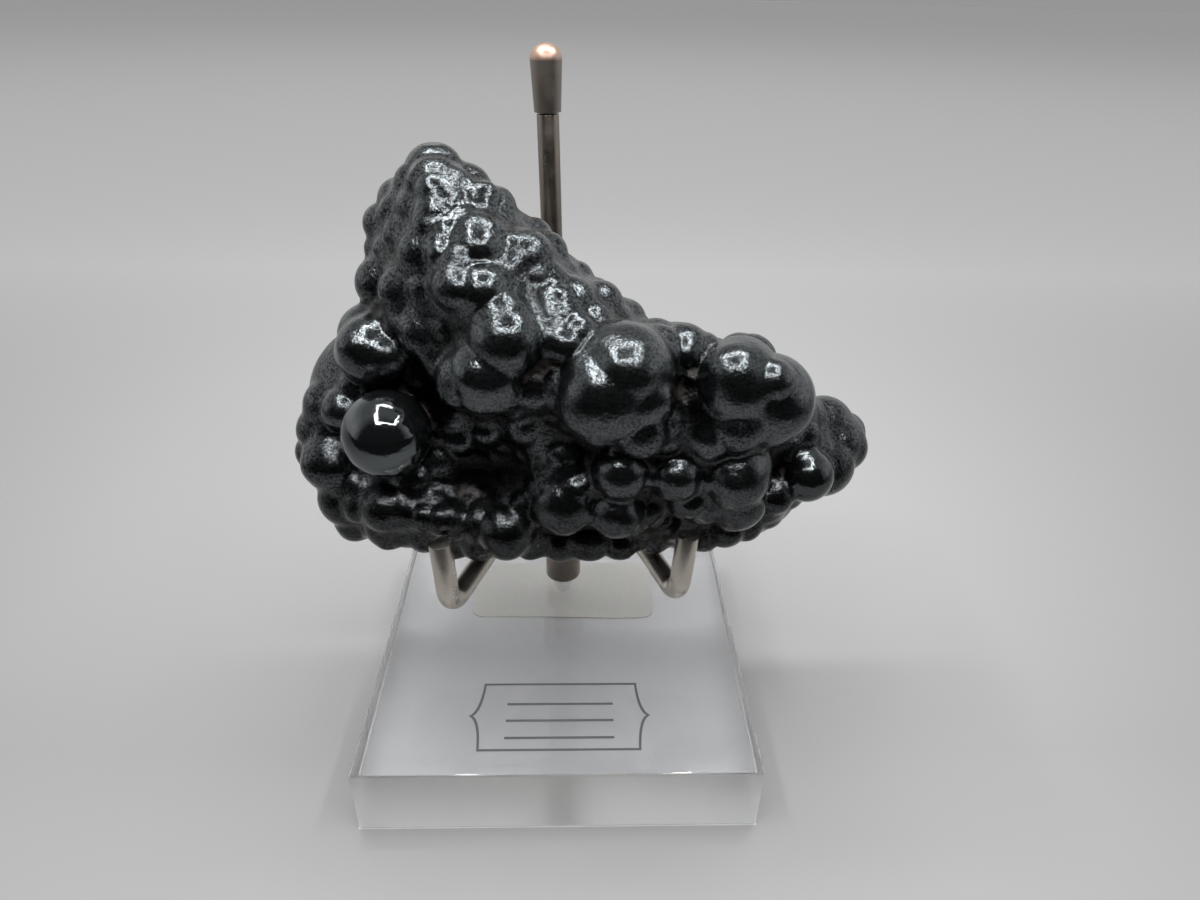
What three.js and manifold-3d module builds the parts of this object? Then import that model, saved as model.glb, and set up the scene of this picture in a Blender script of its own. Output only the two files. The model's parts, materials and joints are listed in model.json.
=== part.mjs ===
// Botryoidal hematite on a clear display stand. Millimetres, +Z up.
// Origin: the centre of the base's underside. +X is to the right of the show side, +Y to its back.
import * as THREE from 'three';
import { mergeVertices } from 'three/addons/utils/BufferGeometryUtils.js';
import Module from 'manifold-3d';

const wasm = await Module();
wasm.setup();

// Clearance between separate pieces, how far a cutter runs past the face it cuts, and the small
// bevel on turned edges
const GAP = 0.3;
const OVERRUN = 1;
const TURNED_EDGE = 0.6;

// Clear base block and what is stuck on it
const BASE_SIDE = 76;
const BASE_HEIGHT = 15;
const BASE_CHAMFER = 0.6;
const LABEL_THICKNESS = 0.2;
const LABEL_HALF_WIDTH = 15.5;
const LABEL_POINT = 2.3;
const LABEL_SHOULDER = 0.3;
const LABEL_BRACE = 1;
const LABEL_FRONT = -32.6;
const LABEL_BACK = -16;
const STICKER_WIDTH = 43;
const STICKER_DEPTH = 19.5;
const STICKER_THICKNESS = 0.3;
const STICKER_CORNER = 3;
const STICKER_Y = 22;

// Steel post with a turned-down tenon for its cap, and the socket at its foot. The post stands a
// little loose in the socket and leans, by degrees about the Y axis.
const POST_DIAMETER = 4;
const POST_Y = 19.8;
const POST_LEAN = -1.25;
const POST_CLEARANCE = 0.35;
const POST_SUNK = 8;
const POST_SHOULDER = 104;
const TENON_DIAMETER = 3;
const TENON_LENGTH = 5;
const SOCKET_DIAMETER = 8.2;
const SOCKET_HEIGHT = 9;
const CAP_LENGTH = 11;
const CAP_WAIST = 4.8;
const CAP_HEAD = 5.6;
const CAP_DOME = 2.6;

// Sliding bracket: a collar with a thumb screw, and two arms of round wire. Each arm leaves the
// collar level, turns forward at its elbow, runs out to its hook and stands up there to its tip.
const COLLAR_DIAMETER = 10;
const COLLAR_HEIGHT = 11;
const ARM_Z = 41.8;
const COLLAR_UP = ARM_Z - BASE_HEIGHT;
const ARM_DIAMETER = 4;
const ARM_BEND = 3.4;
const LEFT_ELBOW = [-8.9, 9];
const RIGHT_ELBOW = [12, 9];
const LEFT_HOOK = [-19.6, -22.7];
const RIGHT_HOOK = [21.9, -19.8];
const LEFT_TIP = [-20.5, -21.6, 55.2];
const RIGHT_TIP = [22.9, -18.9, 54.9];
const SCREW_DIAMETER = 3;
const SCREW_HEAD_DIAMETER = 9;
const SCREW_HEAD_LENGTH = 5;
const SCREW_HEAD_OFFSET = 7.5;

// The stone's broken back and underside
const STONE_BOTTOM = ARM_Z + ARM_DIAMETER / 2 + GAP;
const STONE_BACK = 12.2;
const BACK_LEAN = 0.035;
const BREAK_RELIEF = 0.9;
const BOTTOM_RELIEF = 1.1;

// How steeply the stone falls away beside a lump that stands proud
const SKIRT_SLOPE = 1.6;

// Draws the stone's faces closer together on its show side. Less than 1 long.
const SHOW_SIDE = new THREE.Vector3(0, -0.4, 0);

// The stone, lobe by lobe from the peak down. A lobe is measured out from its centre. `mass` is
// what its lumps grow from, each [x, y, z, half width, half depth, half height, lean about Y in
// degrees], and `lumps` are balls, each [x, y, z, radius].
const LOBES = {
  crest: {
    centre: [-17, 1, 102], detail: 6,
    mass: [
      [-24, 5, 96, 8.5, 8, 15, 6],
      [-19, 3, 105, 7, 7, 9.5, -20],
      [-7, 5, 95, 17, 7.5, 7.5, 36],
    ],
    lumps: [
      [-20, 4, 112.5, 4],
      [-15.2, 3, 109.5, 4.1],
      [-10, 0, 107.5, 3],
      [-23.5, 2, 110.5, 3.3],
      [-19, -3, 111.5, 2],
      [-18.5, -4, 108.5, 3.5],
      [-22, -2, 111.5, 2],
      [-27, 5, 107.5, 3.2],
      [-30, 5, 103, 3.5],
      [-31, 4, 99, 2.6],
      [-31.5, 2, 93.5, 3.5],
      [-27.5, 1, 106, 2.2],
      [-26, -2, 103, 2.8],
      [-23.5, -2, 107.5, 2.3],
      [-16.5, -1, 111.5, 2.3],
      [-11.5, -2, 110, 1.8],
      [-14, -2, 108.5, 2],
      [-28.8, 0, 100, 2.4],
      [-20, -6, 105.5, 3.2],
      [-18, -9, 103.5, 2.5],
      [-12.5, -8, 104, 4.5],
      [-9, -6, 103, 3],
      [-22, -7, 102, 3.2],
      [-15, -12, 102, 2.7],
      [-5, -7, 101, 4.5],
      [-4.5, 3, 101.5, 3.4],
      [-2, 0, 100, 3.4],
      [-1, -3, 97, 3.1],
      [-26, -6, 95, 3.6],
      [3, 2, 95, 2.8],
      [6.5, 3, 92, 2.5],
    ],
  },
  tongue: {
    centre: [-15, -8, 90], detail: 6,
    mass: [
      [-15, -6, 92, 7.5, 8, 13, -12],
    ],
    lumps: [
      [-15.5, -14, 98.5, 3.6],
      [-11, -14, 98, 4.1],
      [-20.5, -11, 97.5, 3.2],
      [-20, -12, 95.5, 3],
      [-6, -10, 96.5, 2],
      [-8.5, -17, 93, 4.5],
      [-6, -14, 94.5, 2.8],
      [-13.5, -17, 90, 4.5],
      [-11, -17, 85.5, 6.5],
      [-15.5, -17, 83.5, 3.8],
      [-9, -18, 83, 4],
      [-7, -15, 86.5, 4],
      [-16.5, -14, 92, 3.6],
      [-21.5, -12, 90.5, 4.2],
      [-24.5, -8, 90.5, 3.4],
      [-29, -2, 91, 3.2],
      [-25.5, -8, 86, 2.6],
      [-19, -14, 88, 3.6],
    ],
  },
  apron: {
    centre: [-35, 1, 71], detail: 5,
    mass: [
      [-31, 3, 70, 16, 11, 16, 0],
      [-37, 0, 66, 10, 9, 12, 0],
    ],
    lumps: [
      [-32, -6, 84.5, 6],
      [-33, -1, 85, 5.8],
      [-40.5, 2, 75, 4.3],
      [-36, -6, 77.5, 2.6],
      [-42, -4, 72.5, 4.7],
      [-43.5, -3, 67.5, 4.7],
      [-46, -3, 62.5, 3.4],
      [-41, -7, 63, 6],
      [-29.5, -13, 72, 7.6],
    ],
  },
  lowerCorner: {
    centre: [-29, -5, 55], detail: 5,
    mass: [
      [-27, -4, 53.5, 18, 9, 10.5, 0],
      [-29, 2, 60, 17, 10, 14, 0],
    ],
    lumps: [
      [-38, -9, 60.5, 3.2],
      [-39.5, -8, 55.5, 5.4],
      [-31, -14, 57.5, 4.6],
      [-35.5, -12, 57, 3.7],
      [-24, -15, 56.5, 3.2],
      [-20.5, -15, 56, 3.8],
      [-38.5, -8, 50.5, 4],
      [-31.5, -12, 51, 3.6],
      [-25, -13, 51, 3.4],
    ],
  },
  middle: {
    centre: [-8, 3, 66], detail: 3,
    mass: [
      [-6, 5, 64, 34, 11, 20, 0],
    ],
    lumps: [
      [-27, -6, 75.5, 2.8],
      [-24, -7, 79, 2.4],
      [-19, -9, 78, 2.2],
      [-18, -9, 73.5, 2.6],
      [-21.5, -8, 73, 2],
      [-21.5, -9, 70, 2.4],
      [-17.5, -9, 69, 2.9],
      [-21.5, -9, 65.5, 2.8],
      [-25, -12, 62.5, 2.6],
      [-12.5, -11, 71.5, 2.6],
      [-9.5, -10, 69, 2.5],
    ],
  },
  greatBall: {
    centre: [5, -9, 82], detail: 6,
    mass: [
      [4, -3, 84, 15, 9, 10, 20],
      [8, -8, 74, 16, 9, 12, 0],
    ],
    lumps: [
      [10.5, -17, 85.5, 8.5],
      [7.5, -19, 83, 8.1],
      [4.5, -19, 86, 4.7],
      [2.5, -19, 82.5, 3.9],
      [13, -20, 83, 5.5],
      [14, -22, 78.5, 3.2],
      [15.5, -13, 87, 5],
      [17, -13, 83.5, 4],
      [18, -18, 74.5, 2.9],
      [5.5, -15, 89, 3.7],
      [0, -12, 95, 3.4],
      [-1, -16, 92.5, 2.2],
      [3, -15, 92.5, 2.2],
      [1.5, -17, 91, 1.9],
      [2, -9, 94, 4.6],
      [5.5, -11, 92, 3.3],
      [7, -5, 93, 3.7],
      [11.5, -3, 89.5, 3.3],
      [-3.5, -13, 91, 2.9],
      [-3, -10, 95.5, 2.3],
      [0.5, -15, 86, 3.7],
      [-5.5, -14, 74.5, 3.6],
      [-3.5, -13, 70.5, 2.8],
      [1, -15, 69.5, 3.2],
    ],
  },
  rightBalls: {
    centre: [29, -8, 77], detail: 5,
    mass: [
      [29, -1, 71, 20, 12, 12, 12],
    ],
    lumps: [
      [21, -9, 87.5, 3.2],
      [24.5, -9, 86, 3],
      [29.5, -15, 83, 7.4],
      [35, -14, 79.5, 7.9],
      [25, -19, 78.5, 5.6],
      [23, -17, 81, 4],
      [29.5, -18, 77, 4.7],
      [33.5, -6, 84, 3.6],
      [43.6, -4, 77, 2],
    ],
  },
  rightEnd: {
    centre: [50, 1, 62], detail: 3,
    mass: [
      [48, 3, 61.5, 11, 8, 8, 0],
    ],
    lumps: [
      [51.5, 4, 64.5, 6.1],
      [53, 3, 61.5, 7],
      [56.5, 6, 62, 4.4],
      [50.5, -2, 59.5, 6.3],
      [47.5, -3, 64, 3.5],
      [45, -6, 68.5, 2.7],
      [45.5, -9, 61.5, 5.1],
    ],
  },
  lowerLeft: {
    centre: [-5, -8, 56], detail: 5,
    mass: [
      [-3, -4, 54, 20, 10.5, 11, 0],
    ],
    lumps: [
      [1, -16, 60.5, 6],
      [-2.5, -15, 63, 3.3],
      [1.5, -15, 66.5, 4],
      [3, -18, 64, 2.8],
      [5.5, -13.5, 49.5, 3.7],
      [0, -13, 49, 3.6],
      [-5.5, -14, 49, 2.8],
      [-9.5, -17, 53.5, 5.6],
      [-15, -13, 49, 3.5],
      [-19.5, -12, 48, 3],
    ],
  },
  lowerRight: {
    centre: [24, -7, 60], detail: 6,
    mass: [
      [23, -4, 54, 23, 10, 11, 0],
    ],
    lumps: [
      [5, -14, 69, 2.8],
      [10.5, -19, 68, 4.6],
      [10, -18, 59.5, 4.8],
      [16, -15, 67.5, 2.6],
      [20, -18, 67, 4.5],
      [30.5, -16, 66.5, 6.4],
      [31.5, -16, 60, 5],
      [23, -16, 60.8, 4],
      [26, -15.5, 59.5, 3.6],
      [15.5, -15, 57.5, 3],
      [40, -12, 58, 2.6],
      [42.5, -8, 57, 3.5],
      [39, -9, 53, 3.2],
      [35, -11, 51.5, 3.1],
      [31, -12.5, 52, 3.7],
      [27, -11, 49.5, 3.5],
      [20.5, -10.5, 53, 4.6],
      [18, -10, 48.5, 3.6],
      [11.5, -13, 49, 3.2],
    ],
  },
};
// end of lobes

const material = (color, roughness, metalness, extra = {}) =>
  new THREE.MeshStandardMaterial({ color, roughness, metalness, ...extra });

// --- joining and cutting -------------------------------------------------

function solid(geometry) {
  const bare = geometry.clone();
  bare.deleteAttribute('normal');
  bare.deleteAttribute('uv');
  const merged = mergeVertices(bare, 1e-4);
  return new wasm.Manifold(new wasm.Mesh({
    numProp: 3,
    vertProperties: new Float32Array(merged.attributes.position.array),
    triVerts: new Uint32Array(merged.index.array),
  }));
}

function toGeometry(manifold) {
  const mesh = manifold.getMesh();
  const geometry = new THREE.BufferGeometry();
  geometry.setAttribute('position', new THREE.BufferAttribute(mesh.vertProperties, 3));
  geometry.setIndex(new THREE.BufferAttribute(mesh.triVerts, 1));
  geometry.computeVertexNormals();
  return geometry;
}

// An upright rod on the Z axis from z0 to z1
function rod(diameter, z0, z1, sides = 20) {
  const geometry = new THREE.CylinderGeometry(diameter / 2, diameter / 2, z1 - z0, sides);
  geometry.rotateX(Math.PI / 2);
  geometry.translate(0, 0, (z0 + z1) / 2);
  return geometry;
}

// A turned piece from [radius, height] points, round the Z axis
function turned(points, sides = 20) {
  const profile = points.map(([r, z]) => new THREE.Vector2(r, z));
  const geometry = new THREE.LatheGeometry(profile, sides);
  geometry.rotateX(Math.PI / 2);
  return geometry;
}

function roundedRectangle(width, depth, corner) {
  const x = width / 2;
  const y = depth / 2;
  const shape = new THREE.Shape();
  shape.absarc(x - corner, y - corner, corner, 0, Math.PI / 2);
  shape.absarc(corner - x, y - corner, corner, Math.PI / 2, Math.PI);
  shape.absarc(corner - x, corner - y, corner, Math.PI, 1.5 * Math.PI);
  shape.absarc(x - corner, corner - y, corner, 1.5 * Math.PI, 2 * Math.PI);
  return shape;
}

// --- stand ---------------------------------------------------------------

function acrylicBase() {
  const half = BASE_SIDE / 2 - BASE_CHAMFER;
  const cut = half - BASE_CHAMFER;
  const outline = new THREE.Shape([
    [half, -cut], [half, cut], [cut, half], [-cut, half],
    [-half, cut], [-half, -cut], [-cut, -half], [cut, -half],
  ].map(([x, y]) => new THREE.Vector2(x, y)));
  const block = new THREE.ExtrudeGeometry(outline, {
    depth: BASE_HEIGHT - 2 * BASE_CHAMFER,
    bevelSize: BASE_CHAMFER,
    bevelThickness: BASE_CHAMFER,
    bevelSegments: 1,
  });
  block.translate(0, 0, BASE_CHAMFER);
  const hole = rod(POST_DIAMETER + 2 * POST_CLEARANCE, BASE_HEIGHT - POST_SUNK,
    BASE_HEIGHT + OVERRUN);
  hole.translate(0, POST_Y, 0);
  const recessShape = roundedRectangle(STICKER_WIDTH + 2 * GAP, STICKER_DEPTH + 2 * GAP,
    STICKER_CORNER + GAP);
  const recess = new THREE.ExtrudeGeometry(recessShape, {
    depth: OVERRUN + STICKER_THICKNESS,
    bevelEnabled: false,
    curveSegments: 3,
  });
  recess.translate(0, STICKER_Y, -OVERRUN);
  return toGeometry(solid(block).subtract(solid(hole)).subtract(solid(recess)));
}

function undersideSticker() {
  return new THREE.ExtrudeGeometry(roundedRectangle(STICKER_WIDTH, STICKER_DEPTH, STICKER_CORNER), {
    depth: STICKER_THICKNESS,
    bevelEnabled: false,
    curveSegments: 3,
  });
}

// A plaque outline: straight front and back, each side drawn out to a point like a brace
function labelFilm() {
  const middle = (LABEL_FRONT + LABEL_BACK) / 2;
  const shoulder = LABEL_HALF_WIDTH + LABEL_SHOULDER;
  const point = LABEL_HALF_WIDTH + LABEL_POINT;
  const shape = new THREE.Shape();
  shape.moveTo(-LABEL_HALF_WIDTH, LABEL_FRONT);
  shape.lineTo(LABEL_HALF_WIDTH, LABEL_FRONT);
  shape.quadraticCurveTo(shoulder, middle - LABEL_BRACE, point, middle);
  shape.quadraticCurveTo(shoulder, middle + LABEL_BRACE, LABEL_HALF_WIDTH, LABEL_BACK);
  shape.lineTo(-LABEL_HALF_WIDTH, LABEL_BACK);
  shape.quadraticCurveTo(-shoulder, middle + LABEL_BRACE, -point, middle);
  shape.quadraticCurveTo(-shoulder, middle - LABEL_BRACE, -LABEL_HALF_WIDTH, LABEL_FRONT);
  return new THREE.ExtrudeGeometry(shape, {
    depth: LABEL_THICKNESS,
    bevelEnabled: false,
    curveSegments: 4,
  });
}

function post() {
  const r = POST_DIAMETER / 2;
  const tenon = TENON_DIAMETER / 2;
  return turned([
    [0, GAP - POST_SUNK],
    [r, GAP - POST_SUNK],
    [r, POST_SHOULDER],
    [tenon, POST_SHOULDER],
    [tenon, POST_SHOULDER + TENON_LENGTH],
    [0, POST_SHOULDER + TENON_LENGTH],
  ]);
}

function postSocket() {
  const bore = POST_DIAMETER / 2 + POST_CLEARANCE;
  const r = SOCKET_DIAMETER / 2;
  return turned([
    [bore, 0],
    [r, 0],
    [r, SOCKET_HEIGHT - TURNED_EDGE],
    [r - TURNED_EDGE, SOCKET_HEIGHT],
    [bore, SOCKET_HEIGHT],
    [bore, 0],
  ]);
}

// A bullet-shaped cap: narrow at the post, wider at the head, with a domed top
function postCap() {
  const bore = TENON_DIAMETER / 2 + GAP;
  const boreDepth = TENON_LENGTH + GAP;
  const head = CAP_HEAD / 2;
  const domeStart = CAP_LENGTH - CAP_DOME;
  const dome = [30, 60, 90].map((degrees) => {
    const angle = THREE.MathUtils.degToRad(degrees);
    return [head * Math.cos(angle), domeStart + CAP_DOME * Math.sin(angle)];
  });
  dome[2][0] = 0;
  return turned([
    [0, boreDepth],
    [bore, boreDepth],
    [bore, 0],
    [CAP_WAIST / 2, 0],
    [head, domeStart],
    ...dome,
  ]);
}

// --- bracket -------------------------------------------------------------

function collar() {
  const bore = POST_DIAMETER / 2 + GAP;
  const r = COLLAR_DIAMETER / 2;
  const half = COLLAR_HEIGHT / 2;
  const ring = turned([
    [bore, -half],
    [r - TURNED_EDGE, -half],
    [r, TURNED_EDGE - half],
    [r, half - TURNED_EDGE],
    [r - TURNED_EDGE, half],
    [bore, half],
    [bore, -half],
  ]);
  const hole = rod(SCREW_DIAMETER + 2 * GAP, 0, COLLAR_DIAMETER, 16);
  hole.rotateX(-Math.PI / 2);
  return toGeometry(solid(ring).subtract(solid(hole)));
}

function thumbScrew() {
  const shank = SCREW_DIAMETER / 2;
  const head = SCREW_HEAD_DIAMETER / 2;
  const headStart = SCREW_HEAD_OFFSET;
  const headEnd = SCREW_HEAD_OFFSET + SCREW_HEAD_LENGTH;
  const point = POST_DIAMETER / 2 + GAP;
  const screw = turned([
    [0, point],
    [shank, point],
    [shank, headStart],
    [head - TURNED_EDGE, headStart],
    [head, headStart + TURNED_EDGE],
    [head, headEnd - TURNED_EDGE],
    [head - TURNED_EDGE, headEnd],
    [0, headEnd],
  ]);
  screw.rotateX(-Math.PI / 2);
  return screw;
}

// A wire's centre line through `corners`, with a tight bend at each corner between its ends.
// It is read by parameter, so that a wire drawn along it has one step for each stop.
class BentLine extends THREE.Curve {
  constructor(corners, bend) {
    super();
    const turns = corners.slice(1, -1).map((corner, i) => {
      const into = corners[i].clone().sub(corner).setLength(bend).add(corner);
      const out = corners[i + 2].clone().sub(corner).setLength(bend).add(corner);
      return new THREE.QuadraticBezierCurve3(into, corner, out).getPoints(4);
    });
    this.stops = [corners[0], ...turns.flat(), corners.at(-1)];
  }

  get steps() {
    return this.stops.length - 1;
  }

  getPoint(t, target = new THREE.Vector3()) {
    const step = Math.min(Math.floor(t * this.steps), this.steps - 1);
    return target.lerpVectors(this.stops[step], this.stops[step + 1], t * this.steps - step);
  }

  getUtoTmapping(u) {
    return u;
  }
}

function arm(elbow, hook, tip) {
  const lean = THREE.MathUtils.degToRad(POST_LEAN);
  const axis = new THREE.Vector3(COLLAR_UP * Math.sin(lean), POST_Y, ARM_Z);
  const turn = new THREE.Vector3(...elbow, ARM_Z);
  const start = turn.clone().sub(axis).setLength(COLLAR_DIAMETER / 2 - OVERRUN).add(axis);
  const line = new BentLine([start, turn, new THREE.Vector3(...hook, ARM_Z),
    new THREE.Vector3(...tip)], ARM_BEND);
  const section = new THREE.Shape();
  section.absarc(0, 0, ARM_DIAMETER / 2, 0, 2 * Math.PI);
  const wire = new THREE.ExtrudeGeometry(section, {
    steps: line.steps,
    curveSegments: 6,
    extrudePath: line,
  });
  const cope = rod(COLLAR_DIAMETER + 2 * GAP, -COLLAR_HEIGHT, COLLAR_HEIGHT);
  cope.rotateY(lean);
  cope.translate(axis.x, axis.y, axis.z);
  return toGeometry(solid(wire).subtract(solid(cope)));
}

// --- stone ---------------------------------------------------------------

// Turns space so that one ellipsoid of the stone becomes the unit ball
function toUnitBall([x, y, z, a, b = a, c = a, lean = 0]) {
  const turn = new THREE.Quaternion();
  turn.setFromAxisAngle(new THREE.Vector3(0, 1, 0), THREE.MathUtils.degToRad(lean));
  const place = new THREE.Vector3(x, y, z);
  return new THREE.Matrix4().compose(place, turn, new THREE.Vector3(a, b, c)).invert();
}

// How far along a ray from `origin` a form reaches: to where the ray leaves the unit ball, or
// for a ray that misses it, to a skirt that falls away from the ball's widest ring
function reach(matrix, origin, direction) {
  const o = origin.clone().applyMatrix4(matrix);
  const d = direction.clone().add(origin).applyMatrix4(matrix).sub(o);
  const length = d.length();
  const nearest = -d.dot(o) / length;
  const miss = Math.sqrt(Math.max(0, o.lengthSq() - nearest * nearest));
  const beyond = miss < 1 ? Math.sqrt(1 - miss * miss) : SKIRT_SLOPE * (1 - miss);
  return (nearest + beyond) / length;
}

// A lobe of the stone: a ball whose every point is drawn out to the last of the lobe's masses
// and lumps that lies its way
function lobe({ centre, detail, mass, lumps }) {
  const origin = new THREE.Vector3(...centre);
  const forms = [...mass, ...lumps].map(toUnitBall);
  const geometry = new THREE.IcosahedronGeometry(1, detail);
  const place = geometry.attributes.position;
  const point = new THREE.Vector3();
  for (let i = 0; i < place.count; i += 1) {
    point.fromBufferAttribute(place, i).add(SHOW_SIDE).normalize();
    const far = Math.max(...forms.map((form) => reach(form, origin, point)));
    point.multiplyScalar(far).add(origin);
    place.setXYZ(i, point.x, point.y, point.z);
  }
  return geometry;
}

// Uneven relief of a broken face, from -1 to 1
const breakRelief = (u, v) =>
  0.5 * Math.sin(0.31 * u + 1.3) * Math.cos(0.27 * v + 0.4)
  + 0.3 * Math.sin(0.53 * v - 0.21 * u)
  + 0.2 * Math.sin(0.83 * u + 0.61 * v);

// All that lies in front of the broken back and above the broken underside: a box well past the
// stone's other sides, with faces of about 12 mm on the two broken ones
function unbrokenSpace() {
  const [width, depth, height] = [144, 60, 96];
  const box = new THREE.BoxGeometry(width, depth, height, width / 12, depth / 12, height / 12);
  box.translate(0, STONE_BACK - depth / 2, STONE_BOTTOM + height / 2);
  const place = box.attributes.position;
  for (let i = 0; i < place.count; i += 1) {
    const [x, y, z] = [place.getX(i), place.getY(i), place.getZ(i)];
    if (y > STONE_BACK - GAP) {
      place.setY(i, y + BACK_LEAN * (z - STONE_BOTTOM) + BREAK_RELIEF * breakRelief(x, z));
    }
    if (z < STONE_BOTTOM + GAP) {
      place.setZ(i, z + BOTTOM_RELIEF * Math.max(0, breakRelief(y, x)));
    }
  }
  return box;
}

function hematite() {
  const whole = wasm.Manifold.union(Object.values(LOBES).map((each) => solid(lobe(each))));
  return toGeometry(whole.intersect(solid(unbrokenSpace())));
}

// --- assembly ------------------------------------------------------------

const CLEAR_ACRYLIC = material('#dfe5e8', 0.05, 0, { transparent: true, opacity: 0.35 });
const LABEL_PRINT = material('#6a6e72', 0.4, 0);
const PAPER_STICKER = material('#e6e6e2', 0.7, 0);
const SATIN_STEEL = material('#a5a39e', 0.32, 1);
const CAP_METAL = material('#8f8d89', 0.35, 1);
const HEMATITE = material('#34363a', 0.22, 0.9);

const group = new THREE.Group();

// What is threaded on the post, in heights above the top of the base
const leaning = new THREE.Group();
leaning.position.set(0, POST_Y, BASE_HEIGHT);
leaning.rotation.y = THREE.MathUtils.degToRad(POST_LEAN);
group.add(leaning);

function piece(holder, name, geometry, finish, x = 0, y = 0, z = 0) {
  const mesh = new THREE.Mesh(geometry, finish.clone());
  mesh.name = name;
  mesh.position.set(x, y, z);
  holder.add(mesh);
}

piece(group, 'acrylic_base', acrylicBase(), CLEAR_ACRYLIC);
piece(group, 'underside_sticker', undersideSticker(), PAPER_STICKER, 0, STICKER_Y, 0);
piece(group, 'label_film', labelFilm(), LABEL_PRINT, 0, 0, BASE_HEIGHT);
piece(group, 'post_socket', postSocket(), SATIN_STEEL, 0, POST_Y, BASE_HEIGHT);
piece(leaning, 'post', post(), SATIN_STEEL);
piece(leaning, 'post_cap', postCap(), CAP_METAL, 0, 0, POST_SHOULDER + GAP);
piece(leaning, 'collar', collar(), SATIN_STEEL, 0, 0, COLLAR_UP);
piece(leaning, 'thumb_screw', thumbScrew(), SATIN_STEEL, 0, 0, COLLAR_UP);
piece(group, 'left_arm', arm(LEFT_ELBOW, LEFT_HOOK, LEFT_TIP), SATIN_STEEL);
piece(group, 'right_arm', arm(RIGHT_ELBOW, RIGHT_HOOK, RIGHT_TIP), SATIN_STEEL);
piece(group, 'hematite', hematite(), HEMATITE);

export default group;
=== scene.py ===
"""Botryoidal hematite on a clear display stand: the looks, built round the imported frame.

Metres, +Z up. The origin is the centre of the base's underside, +Y is to the back. Sizes that are
named in millimetres are turned to metres where they are used.
"""

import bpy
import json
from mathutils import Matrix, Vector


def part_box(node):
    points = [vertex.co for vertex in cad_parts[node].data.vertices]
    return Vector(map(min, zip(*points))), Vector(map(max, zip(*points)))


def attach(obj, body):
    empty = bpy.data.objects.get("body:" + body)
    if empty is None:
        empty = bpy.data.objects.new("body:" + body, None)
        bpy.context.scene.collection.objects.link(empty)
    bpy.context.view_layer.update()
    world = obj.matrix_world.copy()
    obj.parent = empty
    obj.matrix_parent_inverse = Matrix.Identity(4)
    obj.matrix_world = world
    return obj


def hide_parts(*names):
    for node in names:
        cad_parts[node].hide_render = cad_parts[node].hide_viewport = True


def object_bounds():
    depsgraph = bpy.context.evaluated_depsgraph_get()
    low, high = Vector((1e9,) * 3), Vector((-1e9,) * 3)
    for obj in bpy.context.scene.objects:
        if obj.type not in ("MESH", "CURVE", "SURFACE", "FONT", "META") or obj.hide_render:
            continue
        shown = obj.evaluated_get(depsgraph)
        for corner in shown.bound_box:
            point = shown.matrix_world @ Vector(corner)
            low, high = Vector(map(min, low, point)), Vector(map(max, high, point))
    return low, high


bl_info = {
    "name": "Hematite on a Display Stand",
    "version": (1, 0, 0),
    "blender": (4, 5, 0),
    "location": "3D Viewport > Sidebar > Hematite",
    "description": "Builds a botryoidal hematite, its steel bracket and its clear base",
    "category": "Object",
}

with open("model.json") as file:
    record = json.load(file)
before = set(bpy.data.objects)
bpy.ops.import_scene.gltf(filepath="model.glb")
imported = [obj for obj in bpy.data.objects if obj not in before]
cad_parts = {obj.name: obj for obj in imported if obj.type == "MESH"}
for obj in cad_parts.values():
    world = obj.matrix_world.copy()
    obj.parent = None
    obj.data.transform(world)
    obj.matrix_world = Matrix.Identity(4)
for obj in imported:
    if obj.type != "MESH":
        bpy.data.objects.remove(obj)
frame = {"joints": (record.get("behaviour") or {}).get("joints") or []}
CAD_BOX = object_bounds()

import json
import math
import random

import bmesh
import bpy
import numpy as np
from mathutils import Matrix, Vector, noise
from mathutils.bvhtree import BVHTree
from mathutils.kdtree import KDTree

MM = 0.001
UP = Vector((0, 0, 1))


# --- what the frame gives ------------------------------------------------

BASE_LOW, BASE_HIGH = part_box("acrylic_base")
SOCKET_LOW, SOCKET_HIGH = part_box("post_socket")
STONE_LOW, STONE_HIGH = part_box("hematite")
POST_FOOT = Vector((0, (SOCKET_LOW.y + SOCKET_HIGH.y) / 2, BASE_HIGH.z))
POST_AXIS = Vector(frame["joints"][0]["axis"]).normalized()
ARM_Z = 41.8
COLLAR_UP = ARM_Z - BASE_HIGH.z / MM
POST_PLACE = Matrix.Translation(POST_FOOT) @ UP.rotation_difference(POST_AXIS).to_matrix().to_4x4()

# --- fixed sizes of the stand, in millimetres -----------------------------

CLEARANCE = 0.3
POST_DIAMETER = 4
POST_SUNK = 8
POST_SHOULDER = 104
TENON_DIAMETER = 3
TENON_LENGTH = 5
SOCKET_BORE = 4.7
CAP_LENGTH = 11
CAP_WAIST = 4.8
CAP_HEAD = 5.6
CAP_DOME = 2.6
COLLAR_DIAMETER = 10
COLLAR_HEIGHT = 11
COLLAR_BORE = POST_DIAMETER / 2 + CLEARANCE
ARM_DIAMETER = 4
ARM_BEND = 3.4
LEFT_ELBOW = (-8.9, 9)
RIGHT_ELBOW = (12, 9)
LEFT_HOOK = (-19.6, -22.7)
RIGHT_HOOK = (21.9, -19.8)
LEFT_TIP = (-20.5, -21.6, 55.2)
RIGHT_TIP = (22.9, -18.9, 54.9)
SCREW_DIAMETER = 3
SCREW_HEAD_DIAMETER = 9
SCREW_HEAD_LENGTH = 5
SCREW_HEAD_OFFSET = 7.5
SCREW_CHAMFER = 0.6
SCREW_FLUTES = 28
FLUTE_DEPTH = 0.045  # as a share of the head's radius
BASE_LIFT = 0.05
STICKER_CORNER = 3
LABEL_HALF_WIDTH = 15.5
LABEL_POINT = 2.3
LABEL_BRACE = 1
LABEL_SHOULDER = 0.3
LABEL_LINE = 0.45
RULE_LENGTH = 21
RULE_WIDTH = 0.5
RULE_PITCH = 4.1
RULES_FORWARD = 1.2
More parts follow.
